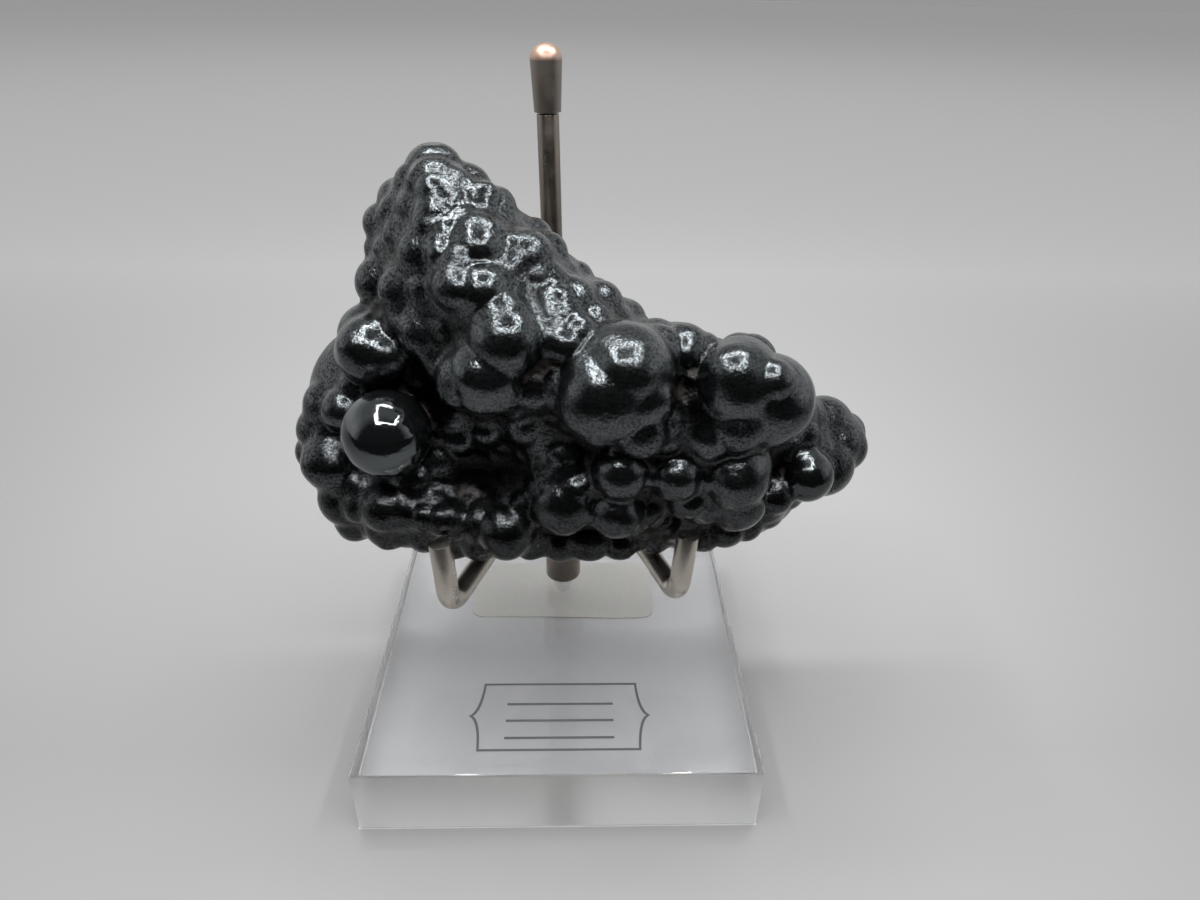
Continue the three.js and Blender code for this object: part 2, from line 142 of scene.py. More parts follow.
PRINT_HEIGHT = 0.4  # as a share of the film's thickness

# --- the stone's shape, in millimetres ------------------------------------

# The broken back and underside
STONE_BOTTOM = 44.1
STONE_BACK = 12.2
BACK_LEAN = 0.035
BACK_WAY = (0, 1, -BACK_LEAN)
DOWN_WAY = (0, 0, -1)

# Lobe by lobe from the peak down. "mass" is what the lumps grow from, each (x, y, z, half width,
# half depth, half height, lean about Y in degrees), and "lumps" are balls, each (x, y, z, radius)
# with a polish from 0 to 1 where the ball is smoother than the rest.
LOBES = {
    "crest": {
        "mass": [
            (-24, 5, 96, 8.5, 8, 15, 6), (-19, 3, 105, 7, 7, 9.5, -20),
            (-7, 5, 95, 17, 7.5, 7.5, 36),
        ],
        "lumps": [
            (-20, 4, 112.5, 4), (-15.2, 3, 109.5, 4.1), (-10, 0, 107.5, 3),
            (-23.5, 2, 110.5, 3.3), (-19, -3, 111.5, 2), (-18.5, -4, 108.5, 3.5),
            (-22, -2, 111.5, 2), (-27, 5, 107.5, 3.2), (-30, 5, 103, 3.5), (-31, 4, 99, 2.6),
            (-31.5, 2, 93.5, 3.5), (-27.5, 1, 106, 2.2), (-26, -2, 103, 2.8),
            (-23.5, -2, 107.5, 2.3), (-16.5, -1, 111.5, 2.3), (-11.5, -2, 110, 1.8),
            (-14, -2, 108.5, 2), (-28.8, 0, 100, 2.4), (-20, -6, 105.5, 3.2),
            (-18, -9, 103.5, 2.5), (-12.5, -8, 104, 4.5), (-9, -6, 103, 3), (-22, -7, 102, 3.2),
            (-15, -12, 102, 2.7), (-5, -7, 101, 4.5), (-4.5, 3, 101.5, 3.4), (-2, 0, 100, 3.4),
            (-1, -3, 97, 3.1), (-26, -6, 95, 3.6), (3, 2, 95, 2.8), (6.5, 3, 92, 2.5),
        ],
    },
    "tongue": {
        "mass": [(-15, -4, 92, 7.5, 8, 13, -12)],
        "lumps": [
            (-15.5, -14, 98.5, 3.6), (-11, -14, 98, 4.1), (-20.9, -8.7, 96.6, 3.2),
            (-20.4, -9.7, 94.6, 3), (-6, -10, 96.5, 2), (-8.5, -17, 93, 4.5),
            (-6, -14, 94.5, 2.8), (-12.7, -15.4, 89, 3.6), (-11, -17, 85.5, 6.5, 0.4),
            (-15.5, -17, 83.5, 3.8), (-9, -18, 83, 4), (-7, -15, 86.5, 4),
            (-16.9, -11.7, 91.1, 3.6), (-21.9, -9.7, 89.6, 4.2), (-24.5, -8, 90.5, 3.4),
            (-29, -2, 91, 3.2), (-25.5, -8, 86, 2.6), (-19.4, -11.7, 87.1, 3.6),
        ],
    },
    "apron": {
        "mass": [(-31, 3, 70, 16, 11, 16, 0), (-37, 0, 66, 10, 9, 12, 0)],
        "lumps": [
            (-32, -6, 84.5, 6, 0.3), (-33, -1, 85, 5.8, 0.3), (-40.5, 2, 75, 4.3),
            (-36, -6, 77.5, 2.6), (-41.5, -3, 72.5, 4.7), (-43.5, -3, 67.5, 4.7),
            (-46, -3, 62.5, 3.4), (-41, -7, 63, 6), (-28.9, -15.1, 73.2, 7.5, 1),
        ],
    },
    "lower_corner": {
        "mass": [(-27, -4, 53.5, 18, 9, 10.5, 0), (-29, 2, 60, 17, 10, 14, 0)],
        "lumps": [
            (-38, -9, 60.5, 3.2), (-39.5, -8, 55.5, 5.4), (-31, -14, 57.5, 4.6),
            (-35.5, -12, 57, 3.7), (-24, -15, 56.5, 3.2), (-20.5, -15, 56, 3.8),
            (-38.5, -8, 50.5, 4), (-31.5, -12, 51, 3.6), (-25, -13, 51, 3.4),
        ],
    },
    "middle": {
        "mass": [(-6, 5, 64, 34, 11, 20, 0)],
        "lumps": [
            (-27, -6, 75.5, 2.8), (-24, -7, 79, 2.4), (-19, -9, 78, 2.2), (-18, -9, 73.5, 2.6),
            (-21.5, -8, 73, 2), (-21.5, -9, 70, 2.4), (-17.5, -9, 69, 2.9),
            (-21.5, -9, 65.5, 2.8), (-25, -12, 62.5, 2.6), (-12.5, -11, 71.5, 2.6),
            (-9.5, -10, 69, 2.5),
        ],
    },
    "great_ball": {
        "mass": [(4, -3, 84, 15, 9, 10, 20), (8, -8, 74, 16, 9, 12, 0)],
        "lumps": [
            (10.5, -17, 85.5, 8.5, 0.35), (7.5, -19, 83, 8.1, 0.35), (4.5, -17.4, 84, 4.5),
            (2.5, -19, 82.5, 3.9), (13, -20, 83, 5.5, 0.4), (14, -22, 78.5, 3.2),
            (15.5, -13, 87, 5), (17, -13, 83.5, 4), (18, -18, 74.5, 2.9), (5.5, -15, 89, 3.7),
            (0, -12, 95, 3.4), (-1, -16, 92.5, 2.2), (3, -15, 92.5, 2.2), (1.5, -17, 91, 1.9),
            (2, -9, 94, 4.6), (5.5, -11, 92, 3.3), (7, -5, 93, 3.7), (11.5, -3, 89.5, 3.3),
            (-3.5, -13, 91, 2.9), (-3, -10, 95.5, 2.3), (0.5, -15, 86, 3.7),
            (-5.5, -14, 74.5, 3.6), (-3.5, -13, 70.5, 2.8), (1, -15, 69.5, 3.2),
        ],
    },
    "right_balls": {
        "mass": [(29, -1, 71, 20, 12, 12, 12)],
        "lumps": [
            (21, -9, 87.5, 3.2), (24.5, -9, 86, 3), (29.5, -15, 83, 7.4, 0.35),
            (35, -14, 79.5, 7.9, 0.35), (25.5, -15.8, 74.5, 5.4, 0.3), (23, -15.5, 80.2, 3.6),
            (29.5, -18, 77, 4.7), (33.5, -6, 84, 3.6), (43.6, -4, 77, 2),
        ],
    },
    "right_end": {
        "mass": [(48, 3, 61.5, 11, 8, 8, 0)],
        "lumps": [
            (51.5, 4, 64.5, 6.1), (53, 3, 61.5, 7), (56.5, 6, 62, 4.4), (50.5, -2, 59.5, 6.3),
            (47.5, -3, 64, 3.5), (45, -6, 68.5, 2.7), (45.5, -9, 61.5, 5.1, 0.6),
        ],
    },
    "lower_left": {
        "mass": [(-3, -4, 54, 20, 10.5, 11, 0)],
        "lumps": [
            (1, -16, 60.5, 6, 0.3), (-2.5, -15, 63, 3.3), (1.5, -15, 66.5, 4, 0.3),
            (3, -18, 64, 2.8), (5.5, -13.5, 49.5, 3.7), (0, -13, 49, 3.6), (-5.5, -14, 49, 2.8),
            (-9.5, -16, 54.3, 5.4, 0.2), (-15, -13, 49, 3.5), (-19.5, -12, 48, 3),
        ],
    },
    "lower_right": {
        "mass": [(23, -4, 54, 23, 10, 11, 0)],
        "lumps": [
            (5, -14, 69, 2.8), (10.5, -19, 68, 4.6, 0.3), (10, -18, 59.5, 4.8, 0.3),
            (16, -15, 67.5, 2.6), (20, -18, 67, 4.5, 0.3), (30.5, -16, 66.5, 6.4, 0.3),
            (31.5, -16, 60, 5, 0.3), (23, -16, 60.8, 4, 0.3), (26, -15.5, 59.5, 3.6, 0.3),
            (15.5, -15, 57.5, 3), (40, -12, 58, 2.6), (42.5, -8, 57, 3.5), (39, -9, 53, 3.2),
            (35, -11, 51.5, 3.1), (31, -12.5, 52, 3.7), (27, -11, 49.5, 3.5),
            (20.5, -10.5, 53, 4.6), (18, -10, 48.5, 3.6), (11.5, -13, 49, 3.2),
        ],
    },
}

# Balls polished more than this stand clear of the ground that joins the others
PROUD = 0.25
# A second, closer ground joins all but the fully polished balls, over this share of the gaps
SMALL_GAP = 0.25

# Facets sit on lumps from this radius up that are polished no more than this. Their own radius
# and rise are shares of the lump's radius.
FACET_FROM = 2.8
FACET_POLISH = 0.55
FACET_SIZE = (0.5, 0.78)
FACET_RISE = (0.03, 0.09)

# Beads, with radii as shares of the middle one and their rise in millimetres. None grow where the
# swollen skin folds in by more than FOLD.
BEADS_AT_MOST = 4000
BEAD_SIZE = (0.8, 1.5)
BEAD_RISE = (0.08, 0.35)
FOLD = 0.4

# How the skin is made: icosphere subdivisions, the swollen skin's cells, rounds of fitting
BALL_DETAIL = 3
MASS_DETAIL = 5
SWOLLEN_CELL = 0.9
FITTING_ROUNDS = 6
BOX_MARGIN = 0.01

# The broken back starts about here along Y, and this is the size of its roughness
BREAK_FROM = 7
CRACKLE = 3.5

# Rounds of smoothing that grooves and hollows are measured against, and where they count as deep
GROOVE_ROUNDS = 40
GROOVE_DEEP = 0.8
HOLLOW_ROUNDS = 300
HOLLOW_DEEP = 2.5

# Growth arcs run round this axis of each ball
ARC_AXIS = (0.3, -0.5, 0.81)

# Small domes that crown the lumps, each (x, y, z, radius), all with one polish
CROWN_POLISH = 0.25
CROWNS = [
    (-19.5, -3.5, 110.5, 3), (-19, -4.5, 107, 4), (-17, -7.5, 105, 3), (-12.5, -9.5, 103, 4.3),
    (-18, -10.5, 102.5, 2.4), (-14.5, -15, 98.5, 3), (-11.5, -14.5, 98, 4.3), (-8, -17, 91, 6),
    (0, -12, 92.5, 5), (-1, -15.5, 90.5, 3.9), (3, -15, 91.5, 3.3), (1.5, -16.5, 90, 3.3),
    (10, -20.5, 88, 4.8), (20.5, -12.5, 87, 3.6), (24, -10.5, 86.5, 3.4), (28.5, -16.5, 85, 5.5),
    (34.2, -17.9, 84.8, 3.8), (-29.5, -8, 84.5, 4.4), (-38, -7, 73.5, 4),
]


# --- what a user may change ----------------------------------------------


class HematiteSettings(bpy.types.PropertyGroup):
    """The stone's fineness and colours."""

    grid: bpy.props.FloatProperty(
        name="Grid", description="Side of the cells that the stone's skin is made on",
        default=0.56 * MM, min=0.3 * MM, max=2 * MM, unit="LENGTH", precision=5)
    fillet: bpy.props.FloatProperty(
        name="Fillet", description="How softly two lumps run together",
        default=0.15 * MM, min=0.05 * MM, max=1 * MM, unit="LENGTH", precision=5)
    gap: bpy.props.FloatProperty(
        name="Gap", description="Gaps between lumps up to twice this wide are grown shut",
        default=6.0 * MM, min=0.5 * MM, max=6 * MM, unit="LENGTH", precision=5)
    ground_sunk: bpy.props.FloatProperty(
        name="Ground Depth", description="How far the ground between lumps lies under them",
        default=0.35 * MM, min=0, max=6 * MM, unit="LENGTH", precision=5)
    bead: bpy.props.FloatProperty(
        name="Bead", description="Middle radius of the small beads between the lumps",
        default=3.4 * MM, min=1 * MM, max=5 * MM, unit="LENGTH", precision=5)
    seed: bpy.props.IntProperty(
        name="Seed", description="Picks where the small beads grow", default=7)
    metal: bpy.props.StringProperty(
        name="Metal", description="Colour of the polished hematite, as sRGB hex", default="#5a5e60")
    rust: bpy.props.StringProperty(
        name="Rust", description="Colour of the earth in the grooves, as sRGB hex", default="#211a14")


class StandSettings(bpy.types.PropertyGroup):
    """The stand's finishes."""

    edge: bpy.props.FloatProperty(
        name="Polished Edge", description="Width of the bevel on the clear block's edges",
        default=0.6 * MM, min=0.1 * MM, max=2 * MM, unit="LENGTH", precision=5)
    acrylic: bpy.props.StringProperty(
        name="Acrylic", description="Tint of the clear block, as sRGB hex", default="#fcfcfc")
    steel: bpy.props.StringProperty(
        name="Steel", description="Colour of the satin steel, as sRGB hex", default="#bdb7ae")
    post: bpy.props.StringProperty(
        name="Post", description="Colour of the post and its socket, as sRGB hex", default="#7f776f")
    cap: bpy.props.StringProperty(
        name="Cap", description="Colour of the cap on the post, as sRGB hex", default="#8a837c")
    ink: bpy.props.StringProperty(
        name="Ink", description="Colour of the label's printed line, as sRGB hex", default="#5b5d5e")
    paper: bpy.props.StringProperty(
        name="Paper", description="Colour of the sticker underneath, as sRGB hex", default="#dfded9")


class StageSettings(bpy.types.PropertyGroup):
    """Floor, light and camera."""

    floor: bpy.props.StringProperty(
        name="Floor", description="Colour of the floor behind the stand, as sRGB hex",
        default="#e4e5e4")
    # Painted shade: the floor from the stand forward is painted darker than the floor behind
    shaded_near_floor: bpy.props.StringProperty(
        name="Near Floor", description="Colour of the floor from the stand forward, as sRGB hex",
        default="#a2a2a2")
    lens: bpy.props.FloatProperty(
        name="Lens", description="The camera's focal length", default=23.948, unit="CAMERA")
    lamp: bpy.props.FloatProperty(
        name="Lamp", description="Brightness of the square lamp's strips", default=24.0, min=0)


# --- small tools ---------------------------------------------------------


def linear(hex_colour):
    """An sRGB hex colour as linear RGBA."""
    channels = [int(hex_colour[i:i + 2], 16) / 255 for i in (1, 3, 5)]
    return (*(c / 12.92 if c <= 0.04045 else ((c + 0.055) / 1.055) ** 2.4 for c in channels), 1.0)


def per(size_mm):
    """The texture scale at which a pattern repeats every so many millimetres."""
    return 1 / (size_mm * MM)


def add(tree, kind, given=None, output=None):
    """Adds a shader node. What is given are the node's own settings and its sockets' values, by name
    or number, or the outputs that feed them. Returns the output asked for, or the first in use."""
    node = tree.nodes.new("ShaderNode" + kind)
    for key, value in (given or {}).items():
        if isinstance(value, bpy.types.NodeSocket):
            tree.links.new(value, node.inputs[key])
        elif isinstance(key, str) and hasattr(node, key):
            setattr(node, key, value)
        else:
            node.inputs[key].default_value = value
    in_use = [each for each in node.outputs if each.enabled]
    return node.outputs[output] if output else in_use[0] if in_use else None


def new_material(name):
    """An empty node material and its node tree."""
    material = bpy.data.materials.new(name)
    material.use_nodes = True
    material.node_tree.nodes.clear()
    return material, material.node_tree


def soften(bm, width, segments=2, angle=30):
    """Bevels every edge that turns by more than an angle in degrees."""
    sharp = [e for e in bm.edges if e.is_manifold and e.calc_face_angle(0) > math.radians(angle)]
    bmesh.ops.bevel(bm, geom=sharp, offset=width * MM, offset_type="OFFSET", segments=segments,
                    profile=0.5, affect="EDGES", material=-1, clamp_overlap=True)


def put_object(name, data):
    """Puts an object in the scene, at the origin."""
    made = bpy.data.objects.new(name, data)
    bpy.context.scene.collection.objects.link(made)
    return made


def as_mesh(bm, name):
    """Turns a bmesh into a mesh and frees it."""
    mesh = bpy.data.meshes.new(name)
    bm.to_mesh(mesh)
    bm.free()
    return mesh


def only(kind, geometry):
    """What is of one kind, such as the vertices, in what a bmesh operator returns."""
    return [each for each in geometry if isinstance(each, kind)]


def evaluated_mesh(holder):
    """An object's mesh after its modifiers."""
    return holder.evaluated_get(bpy.context.evaluated_depsgraph_get()).to_mesh()


def put_piece(bm, name, body, nodes, material, sharp=40):
    """Makes a finished bmesh the piece that stands for some CAD nodes."""
    bmesh.ops.recalc_face_normals(bm, faces=bm.faces)
    put_mesh(as_mesh(bm, name), name, body, nodes, material, sharp)


def put_mesh(mesh, name, body, nodes, material, sharp=40):
    """Makes a finished mesh the piece that stands for some CAD nodes."""
    mesh.polygons.foreach_set("use_smooth", [True] * len(mesh.polygons))
    mesh.set_sharp_from_angle(angle=math.radians(sharp))
    mesh.materials.append(material)
    piece = put_object(name, mesh)
    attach(piece, body)
    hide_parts(*nodes)


def turned(profile, steps=96):
    """A closed profile of (radius, height) in millimetres, turned about the Z axis."""
    bm = bmesh.new()
    rim = [bm.verts.new((r * MM, 0, z * MM)) for r, z in profile]
    ring = [bm.edges.new(pair) for pair in zip(rim, rim[1:])]
    if profile[0][0] and profile[-1][0]:
        ring.append(bm.edges.new((rim[-1], rim[0])))
    bmesh.ops.spin(bm, geom=rim + ring, cent=(0, 0, 0), axis=UP, angle=math.tau, steps=steps,
                   use_merge=True)
    bmesh.ops.remove_doubles(bm, verts=bm.verts, dist=1e-6)
    bmesh.ops.dissolve_degenerate(bm, edges=bm.edges, dist=1e-7)
    return bm


def on_post(bm, height=0.0):
    """Moves a bmesh from its own axis to the leaning post, so many millimetres above the base."""
    bmesh.ops.transform(bm, matrix=POST_PLACE @ Matrix.Translation((0, 0, height * MM)), verts=bm.verts)
    return bm


# --- materials -----------------------------------------------------------


def polished_hematite(settings):
    """Natural botryoidal hematite: a dark metallic skin laid down in fibres. Its lumps are near
    mirrors with a fine orange peel, its grooves hold earth, and its broken faces are dull."""
    material, tree = new_material("botryoidal hematite")
    place = add(tree, "TexCoord", output="Object")
    polish, groove, hollow, broken, arc = (
        add(tree, "Attribute", {"attribute_name": name}, "Fac")
        for name in ("polish", "groove", "hollow", "broken", "arc"))

    # Patches of 6 mm where the skin is more or less polished
    patch = add(tree, "TexNoise", {
        "Scale": per(6), "Detail": 3.0, "Roughness": 0.6, "Vector": place})
    dull = add(tree, "MapRange", {
        "From Min": 0.35, "From Max": 0.68, "To Min": 0.17, "To Max": 0.32, "Value": patch})
    shine = add(tree, "MapRange", {"To Min": 1.0, "To Max": 0.3, "Value": polish})
    skin = add(tree, "Math", {"operation": "MULTIPLY", 0: dull, 1: shine})
    rough_break = add(tree, "Mix", {"data_type": "FLOAT", "B": 0.42, "Factor": broken, "A": skin})

    # Pits of 0.45 mm that show as dark specks in pale reflections, then the duller broken faces,
    # and painted shade that darkens deep hollows and the underside
    pits = add(tree, "TexNoise", {
        "Scale": per(0.45), "Detail": 2.0, "Roughness": 0.7, "Vector": place})
    speck = add(tree, "MapRange", {"From Min": 0.42, "From Max": 0.62, "Value": pits})
    plain = add(tree, "Math", {"operation": "SUBTRACT", 0: 1.0, 1: polish})
    speck = add(tree, "Math", {"operation": "MULTIPLY", 0: speck, 1: plain})
    metal = add(tree, "Mix", {
        "data_type": "RGBA", "A": linear(settings.metal), "B": linear("#222425"), "Factor": speck})
    metal = add(tree, "Mix", {
        "data_type": "RGBA", "B": linear("#444547"), "Factor": broken, "A": metal})
    # Painted shade: the skin turns nearly black in the deepest hollows
    painted_shade = add(tree, "MapRange", {
        "From Min": 0.05, "From Max": 0.6, "To Max": 0.93, "Value": hollow})
    height = add(tree, "SeparateXYZ", {0: place}, "Z")
    # More painted shade, growing towards the stone's underside from 70 mm down to 54 mm
    low = add(tree, "MapRange", {
        "From Min": 70 * MM, "From Max": 54 * MM, "To Max": 0.6, "Value": height})
    painted_shade = add(tree, "Math", {"operation": "MAXIMUM", 0: painted_shade, 1: low})
    metal = add(tree, "Mix", {
        "data_type": "RGBA", "B": linear("#141110"), "Factor": painted_shade, "A": metal})

    # Earth packed in the grooves, broken up every 2 mm
    clods = add(tree, "TexNoise", {"Scale": per(2), "Detail": 4.0, "Vector": place})
    packed = add(tree, "Math", {"operation": "MULTIPLY", 0: groove, 1: clods})
    earth = add(tree, "MapRange", {"From Min": 0.3, "From Max": 0.6, "Value": packed})
    colour = add(tree, "Mix", {
        "data_type": "RGBA", "B": linear(settings.rust), "Factor": earth, "A": metal})
    metallic = add(tree, "MapRange", {"To Min": 0.96, "To Max": 0.0, "Value": earth})
    roughness = add(tree, "Mix", {
        "data_type": "FLOAT", "B": 0.85, "Factor": earth, "A": rough_break})

    # Relief: growth arcs 0.9 mm apart, a 2.2 mm orange peel and 0.55 mm wrinkles
    phase = add(tree, "Math", {"operation": "MULTIPLY", 1: math.tau / 0.9, 0: arc})
    drift = add(tree, "Math", {"operation": "MULTIPLY", 1: 9.0, 0: patch})
    phase = add(tree, "Math", {"operation": "ADD", 0: phase, 1: drift})
    arcs = add(tree, "Math", {"operation": "SINE", 0: phase})
    peel = add(tree, "TexNoise", {"Scale": per(2.2), "Detail": 2.0, "Vector": place})
    wrinkle = add(tree, "TexNoise", {
        "Scale": per(0.55), "Detail": 3.0, "Roughness": 0.65, "Vector": place})
    bump = add(tree, "Bump", {"Strength": 0.25, "Distance": 0.01 * MM, "Height": arcs})
    bump = add(tree, "Bump", {
        "Strength": 0.5, "Distance": 0.1 * MM, "Height": peel, "Normal": bump})
    amount = add(tree, "MapRange", {"To Min": 0.42, "To Max": 0.05, "Value": polish})
    bump = add(tree, "Bump", {
        "Distance": 0.17 * MM, "Height": wrinkle, "Normal": bump, "Strength": amount})
    shader = add(tree, "BsdfPrincipled", {
        "Base Color": colour, "Metallic": metallic, "Roughness": roughness, "Normal": bump})
    add(tree, "OutputMaterial", {"Surface": shader})
    return material


def satin_steel(name, colour, rough=0.3, top_colour=None, top_from=0.0):
    """Drawn stainless wire and turned stainless: brushed along its length, so that highlights
    are soft bands with fine lines. From some height up it may take another colour."""
    material, tree = new_material(name)
    place = add(tree, "TexCoord", output="Object")
    along = add(tree, "Mapping", {"Scale": (1, 1, 0.08), "Vector": place})
    lines = add(tree, "TexNoise", {"Scale": per(0.35), "Detail": 3.0, "Vector": along})
    cloud = add(tree, "TexNoise", {"Scale": per(4), "Detail": 3.0, "Vector": place})
    roughness = add(tree, "MapRange", {
        "From Min": 0.3, "From Max": 0.7, "To Min": rough - 0.06, "To Max": rough + 0.08,
        "Value": cloud})
    bump = add(tree, "Bump", {"Strength": 0.3, "Distance": 0.03 * MM, "Height": lines})
    height = add(tree, "SeparateXYZ", {0: place}, "Z")
    high = add(tree, "Math", {"operation": "GREATER_THAN", 1: top_from, 0: height})
    high = add(tree, "Math", {"operation": "MULTIPLY", 0: high, 1: cloud})
    tone = add(tree, "Mix", {
        "data_type": "RGBA", "A": linear(colour), "B": linear(top_colour or colour), "Factor": high})
    shader = add(tree, "BsdfPrincipled", {
        "Metallic": 1.0, "Base Color": tone, "Roughness": roughness, "Normal": bump})
    add(tree, "OutputMaterial", {"Surface": shader})
    return material


def square_reach(tree, place):
    """How far out from the block's middle a point lies in plan: the larger of |x| and |y|."""
    apart = add(tree, "SeparateXYZ", {0: place}).node
    x, y = (add(tree, "Math", {"operation": "ABSOLUTE", 0: apart.outputs[axis]}) for axis in "XY")
    return add(tree, "Math", {"operation": "MAXIMUM", 0: x, 1: y})


def cast_acrylic(colour):
    """Cast acrylic block: its faces are clear with faint smears, and its sawn sides, which were
    only sanded and flame polished, are hazy."""
    material, tree = new_material("cast acrylic")
    place = add(tree, "TexCoord", output="Object")
    smear = add(tree, "TexNoise", {"Scale": per(14), "Detail": 4.0, "Vector": place})
    roughness = add(tree, "MapRange", {
        "From Min": 0.4, "From Max": 0.75, "To Min": 0.015, "To Max": 0.09, "Value": smear})
    side = add(tree, "Math", {
        "operation": "GREATER_THAN", 0: square_reach(tree, place), 1: BASE_HIGH.x - 0.3 * MM})
    roughness = add(tree, "Mix", {"data_type": "FLOAT", "B": 0.4, "Factor": side, "A": roughness})
    shader = add(tree, "BsdfPrincipled", {
        "Base Color": linear(colour), "IOR": 1.49, "Transmission Weight": 1.0,
        "Roughness": roughness})
    absorb = add(tree, "VolumeAbsorption", {"Color": linear("#e8e9ec"), "Density": 2.0})
    add(tree, "OutputMaterial", {"Surface": shader, "Volume": absorb})
    return material


def flat_print(name, colour, rough):
    """Paper or ink: matt, with a faint unevenness of 1 mm."""
    material, tree = new_material(name)
    place = add(tree, "TexCoord", output="Object")
    grain = add(tree, "TexNoise", {"Scale": per(1), "Detail": 4.0, "Vector": place})
    tone = add(tree, "MapRange", {"To Min": 0.92, "To Max": 1.04, "Value": grain})
    tint = add(tree, "Mix", {
        "data_type": "RGBA", "blend_type": "MULTIPLY", "Factor": 1.0, "A": linear(colour), "B": tone})
    shader = add(tree, "BsdfPrincipled", {"Roughness": rough, "Base Color": tint})
    add(tree, "OutputMaterial", {"Surface": shader})
    return material


# --- the stone -----------------------------------------------------------


class Growth:
    """The stone as a soft union of balls and ellipsoids, in millimetres."""

    def __init__(self, lobes, settings):
        self.fillet = settings.fillet / MM
        self.ground_sunk = settings.ground_sunk / MM
        masses = np.array([m for lobe in lobes.values() for m in lobe["mass"]], float)
        lumps = [(*lump, 0.0)[:5] for lobe in lobes.values() for lump in lobe["lumps"]]
        self.mass_centres, self.mass_sizes = masses[:, :3], masses[:, 3:6]
        self.mass_turns = np.array([Matrix.Rotation(math.radians(m[6]), 3, "Y") for m in masses])
        self.masses = list(zip(self.mass_centres, self.mass_sizes, self.mass_turns))
        self.balls = np.array(lumps, float)
        self.random = random.Random(settings.seed)
        polish = self.balls[:, 4]
        gap = settings.gap / MM
        self.grounds = [self.close_gaps(self.balls[polish < PROUD], gap),
                        self.close_gaps(self.balls[polish < 1], gap * SMALL_GAP)]
        self.balls = np.vstack([self.balls, [(*crown, CROWN_POLISH) for crown in CROWNS],
                                self.facets(lumps), self.beads(settings.bead / MM)])
        print("stone:", len(lumps), "lumps,", len(self.balls), "balls in all")

    def facets(self, lumps):
        """Shallow domes on the larger lumps: low on a lump, where it kept growing."""
        made = []
        for x, y, z, r, polish in lumps:
            if r < FACET_FROM or polish > FACET_POLISH:
                continue
            for _ in range(int(3 + r)):
                way = Vector([self.random.gauss(0, 1) for _ in range(3)]).normalized()
                way.z -= 0.5
                way.normalize()
                size = r * self.random.uniform(*FACET_SIZE)
                rise = r * self.random.uniform(*FACET_RISE)
                made.append((*(Vector((x, y, z)) + way * (r - size + rise)), size, polish * 0.6))
        return np.array(made)

    def beads(self, middle):
        """Low domes all over the ground between the lumps, edge to edge."""
        swollen, swell, ground = self.grounds[0]
        spots = [v.co.copy() for v in ground.vertices]
        self.random.shuffle(spots)
        made, taken = [], KDTree(BEADS_AT_MOST)
        for spot in spots:
            r = middle * self.random.uniform(*BEAD_SIZE)
            out, _, _, far = swollen.find_nearest(spot)
            if far < swell + self.ground_sunk - FOLD or len(made) == BEADS_AT_MOST:
                continue
            normal = (out - spot) / far
            if not made or taken.find(spot)[2] > middle:
                taken.insert(spot, len(made))
                taken.balance()
                rise = self.random.uniform(*BEAD_RISE)
                made.append((*(spot - normal * (r - rise)), r, 0.0))
        return np.array(made)

    def close_gaps(self, balls, swell):
        """Some balls and all masses, swollen until the gaps between them are shut: as a tree of
        the swollen skin, and as a mesh of it shrunk back again."""
        bm = bmesh.new()
        bm.from_mesh(copies([ball_place(b[:3], b[3] + swell) for b in balls], BALL_DETAIL))
        bm.from_mesh(copies([ball_place(centre, sizes + swell, turn)
                             for centre, sizes, turn in self.masses], MASS_DETAIL))
        on_grid(bm, SWOLLEN_CELL)
        drop_inner_shells(bm)
        swollen = BVHTree.FromBMesh(bm)
        bm.normal_update()
        inward = [v.normal * -(swell + self.ground_sunk) for v in bm.verts]
        for vertex, move in zip(bm.verts, inward):
            vertex.co += move
        return swollen, swell, as_mesh(bm, "ground")

    def filled(self, points):
        """As depth, with the gaps between the lumps grown shut nearly to their crowns."""
        depth, slope, nearest = self.depth(points, self.fillet)
        close = np.flatnonzero(depth > -1)
        ground, ground_slope = np.full(len(points), 1e3), slope.copy()
        for swollen, swell, _ in self.grounds:
            for i in close:
                out, normal, _, far = swollen.find_nearest(points[i])
                way = out - Vector(points[i])
                if way.dot(normal) < 0:
                    way, far = -way, -far
                if swell + self.ground_sunk - far < ground[i]:
                    ground[i] = swell + self.ground_sunk - far
                    ground_slope[i] = way.normalized()
        low = np.minimum(depth, ground)
        lump = np.exp((low - depth) / self.fillet)
        between = np.exp((low - ground) / self.fillet)
        share = (between / (lump + between))[:, None]
        slope = slope + share * (ground_slope - slope)
        return low - self.fillet * np.log(lump + between), slope, nearest

    def depth(self, points, fillet):
        """Signed distance to the skin at each point, its slope there, and the form that makes it.
        Works cube by cube, with the balls that reach into each cube."""
        cube = 9.0
        reach = cube * 0.87 + 2  # half the cube's diagonal, and a margin
        cells, where = np.unique(np.floor(points / cube).astype(int), axis=0, return_inverse=True)
        order = np.argsort(where.ravel(), kind="stable")
        groups = np.split(order, np.flatnonzero(np.diff(where.ravel()[order])) + 1)
        depths, slopes = np.empty(len(points)), np.empty((len(points), 3))
        nearest = np.empty(len(points), int)
        for cell, group in zip(cells, groups):
            gap = np.linalg.norm(self.balls[:, :3] - (cell + 0.5) * cube, axis=1) - self.balls[:, 3]
            near = np.flatnonzero(gap < reach)
            depths[group], slopes[group], nearest[group] = self.depth_near(points[group], near, fillet)
        return depths, slopes, nearest

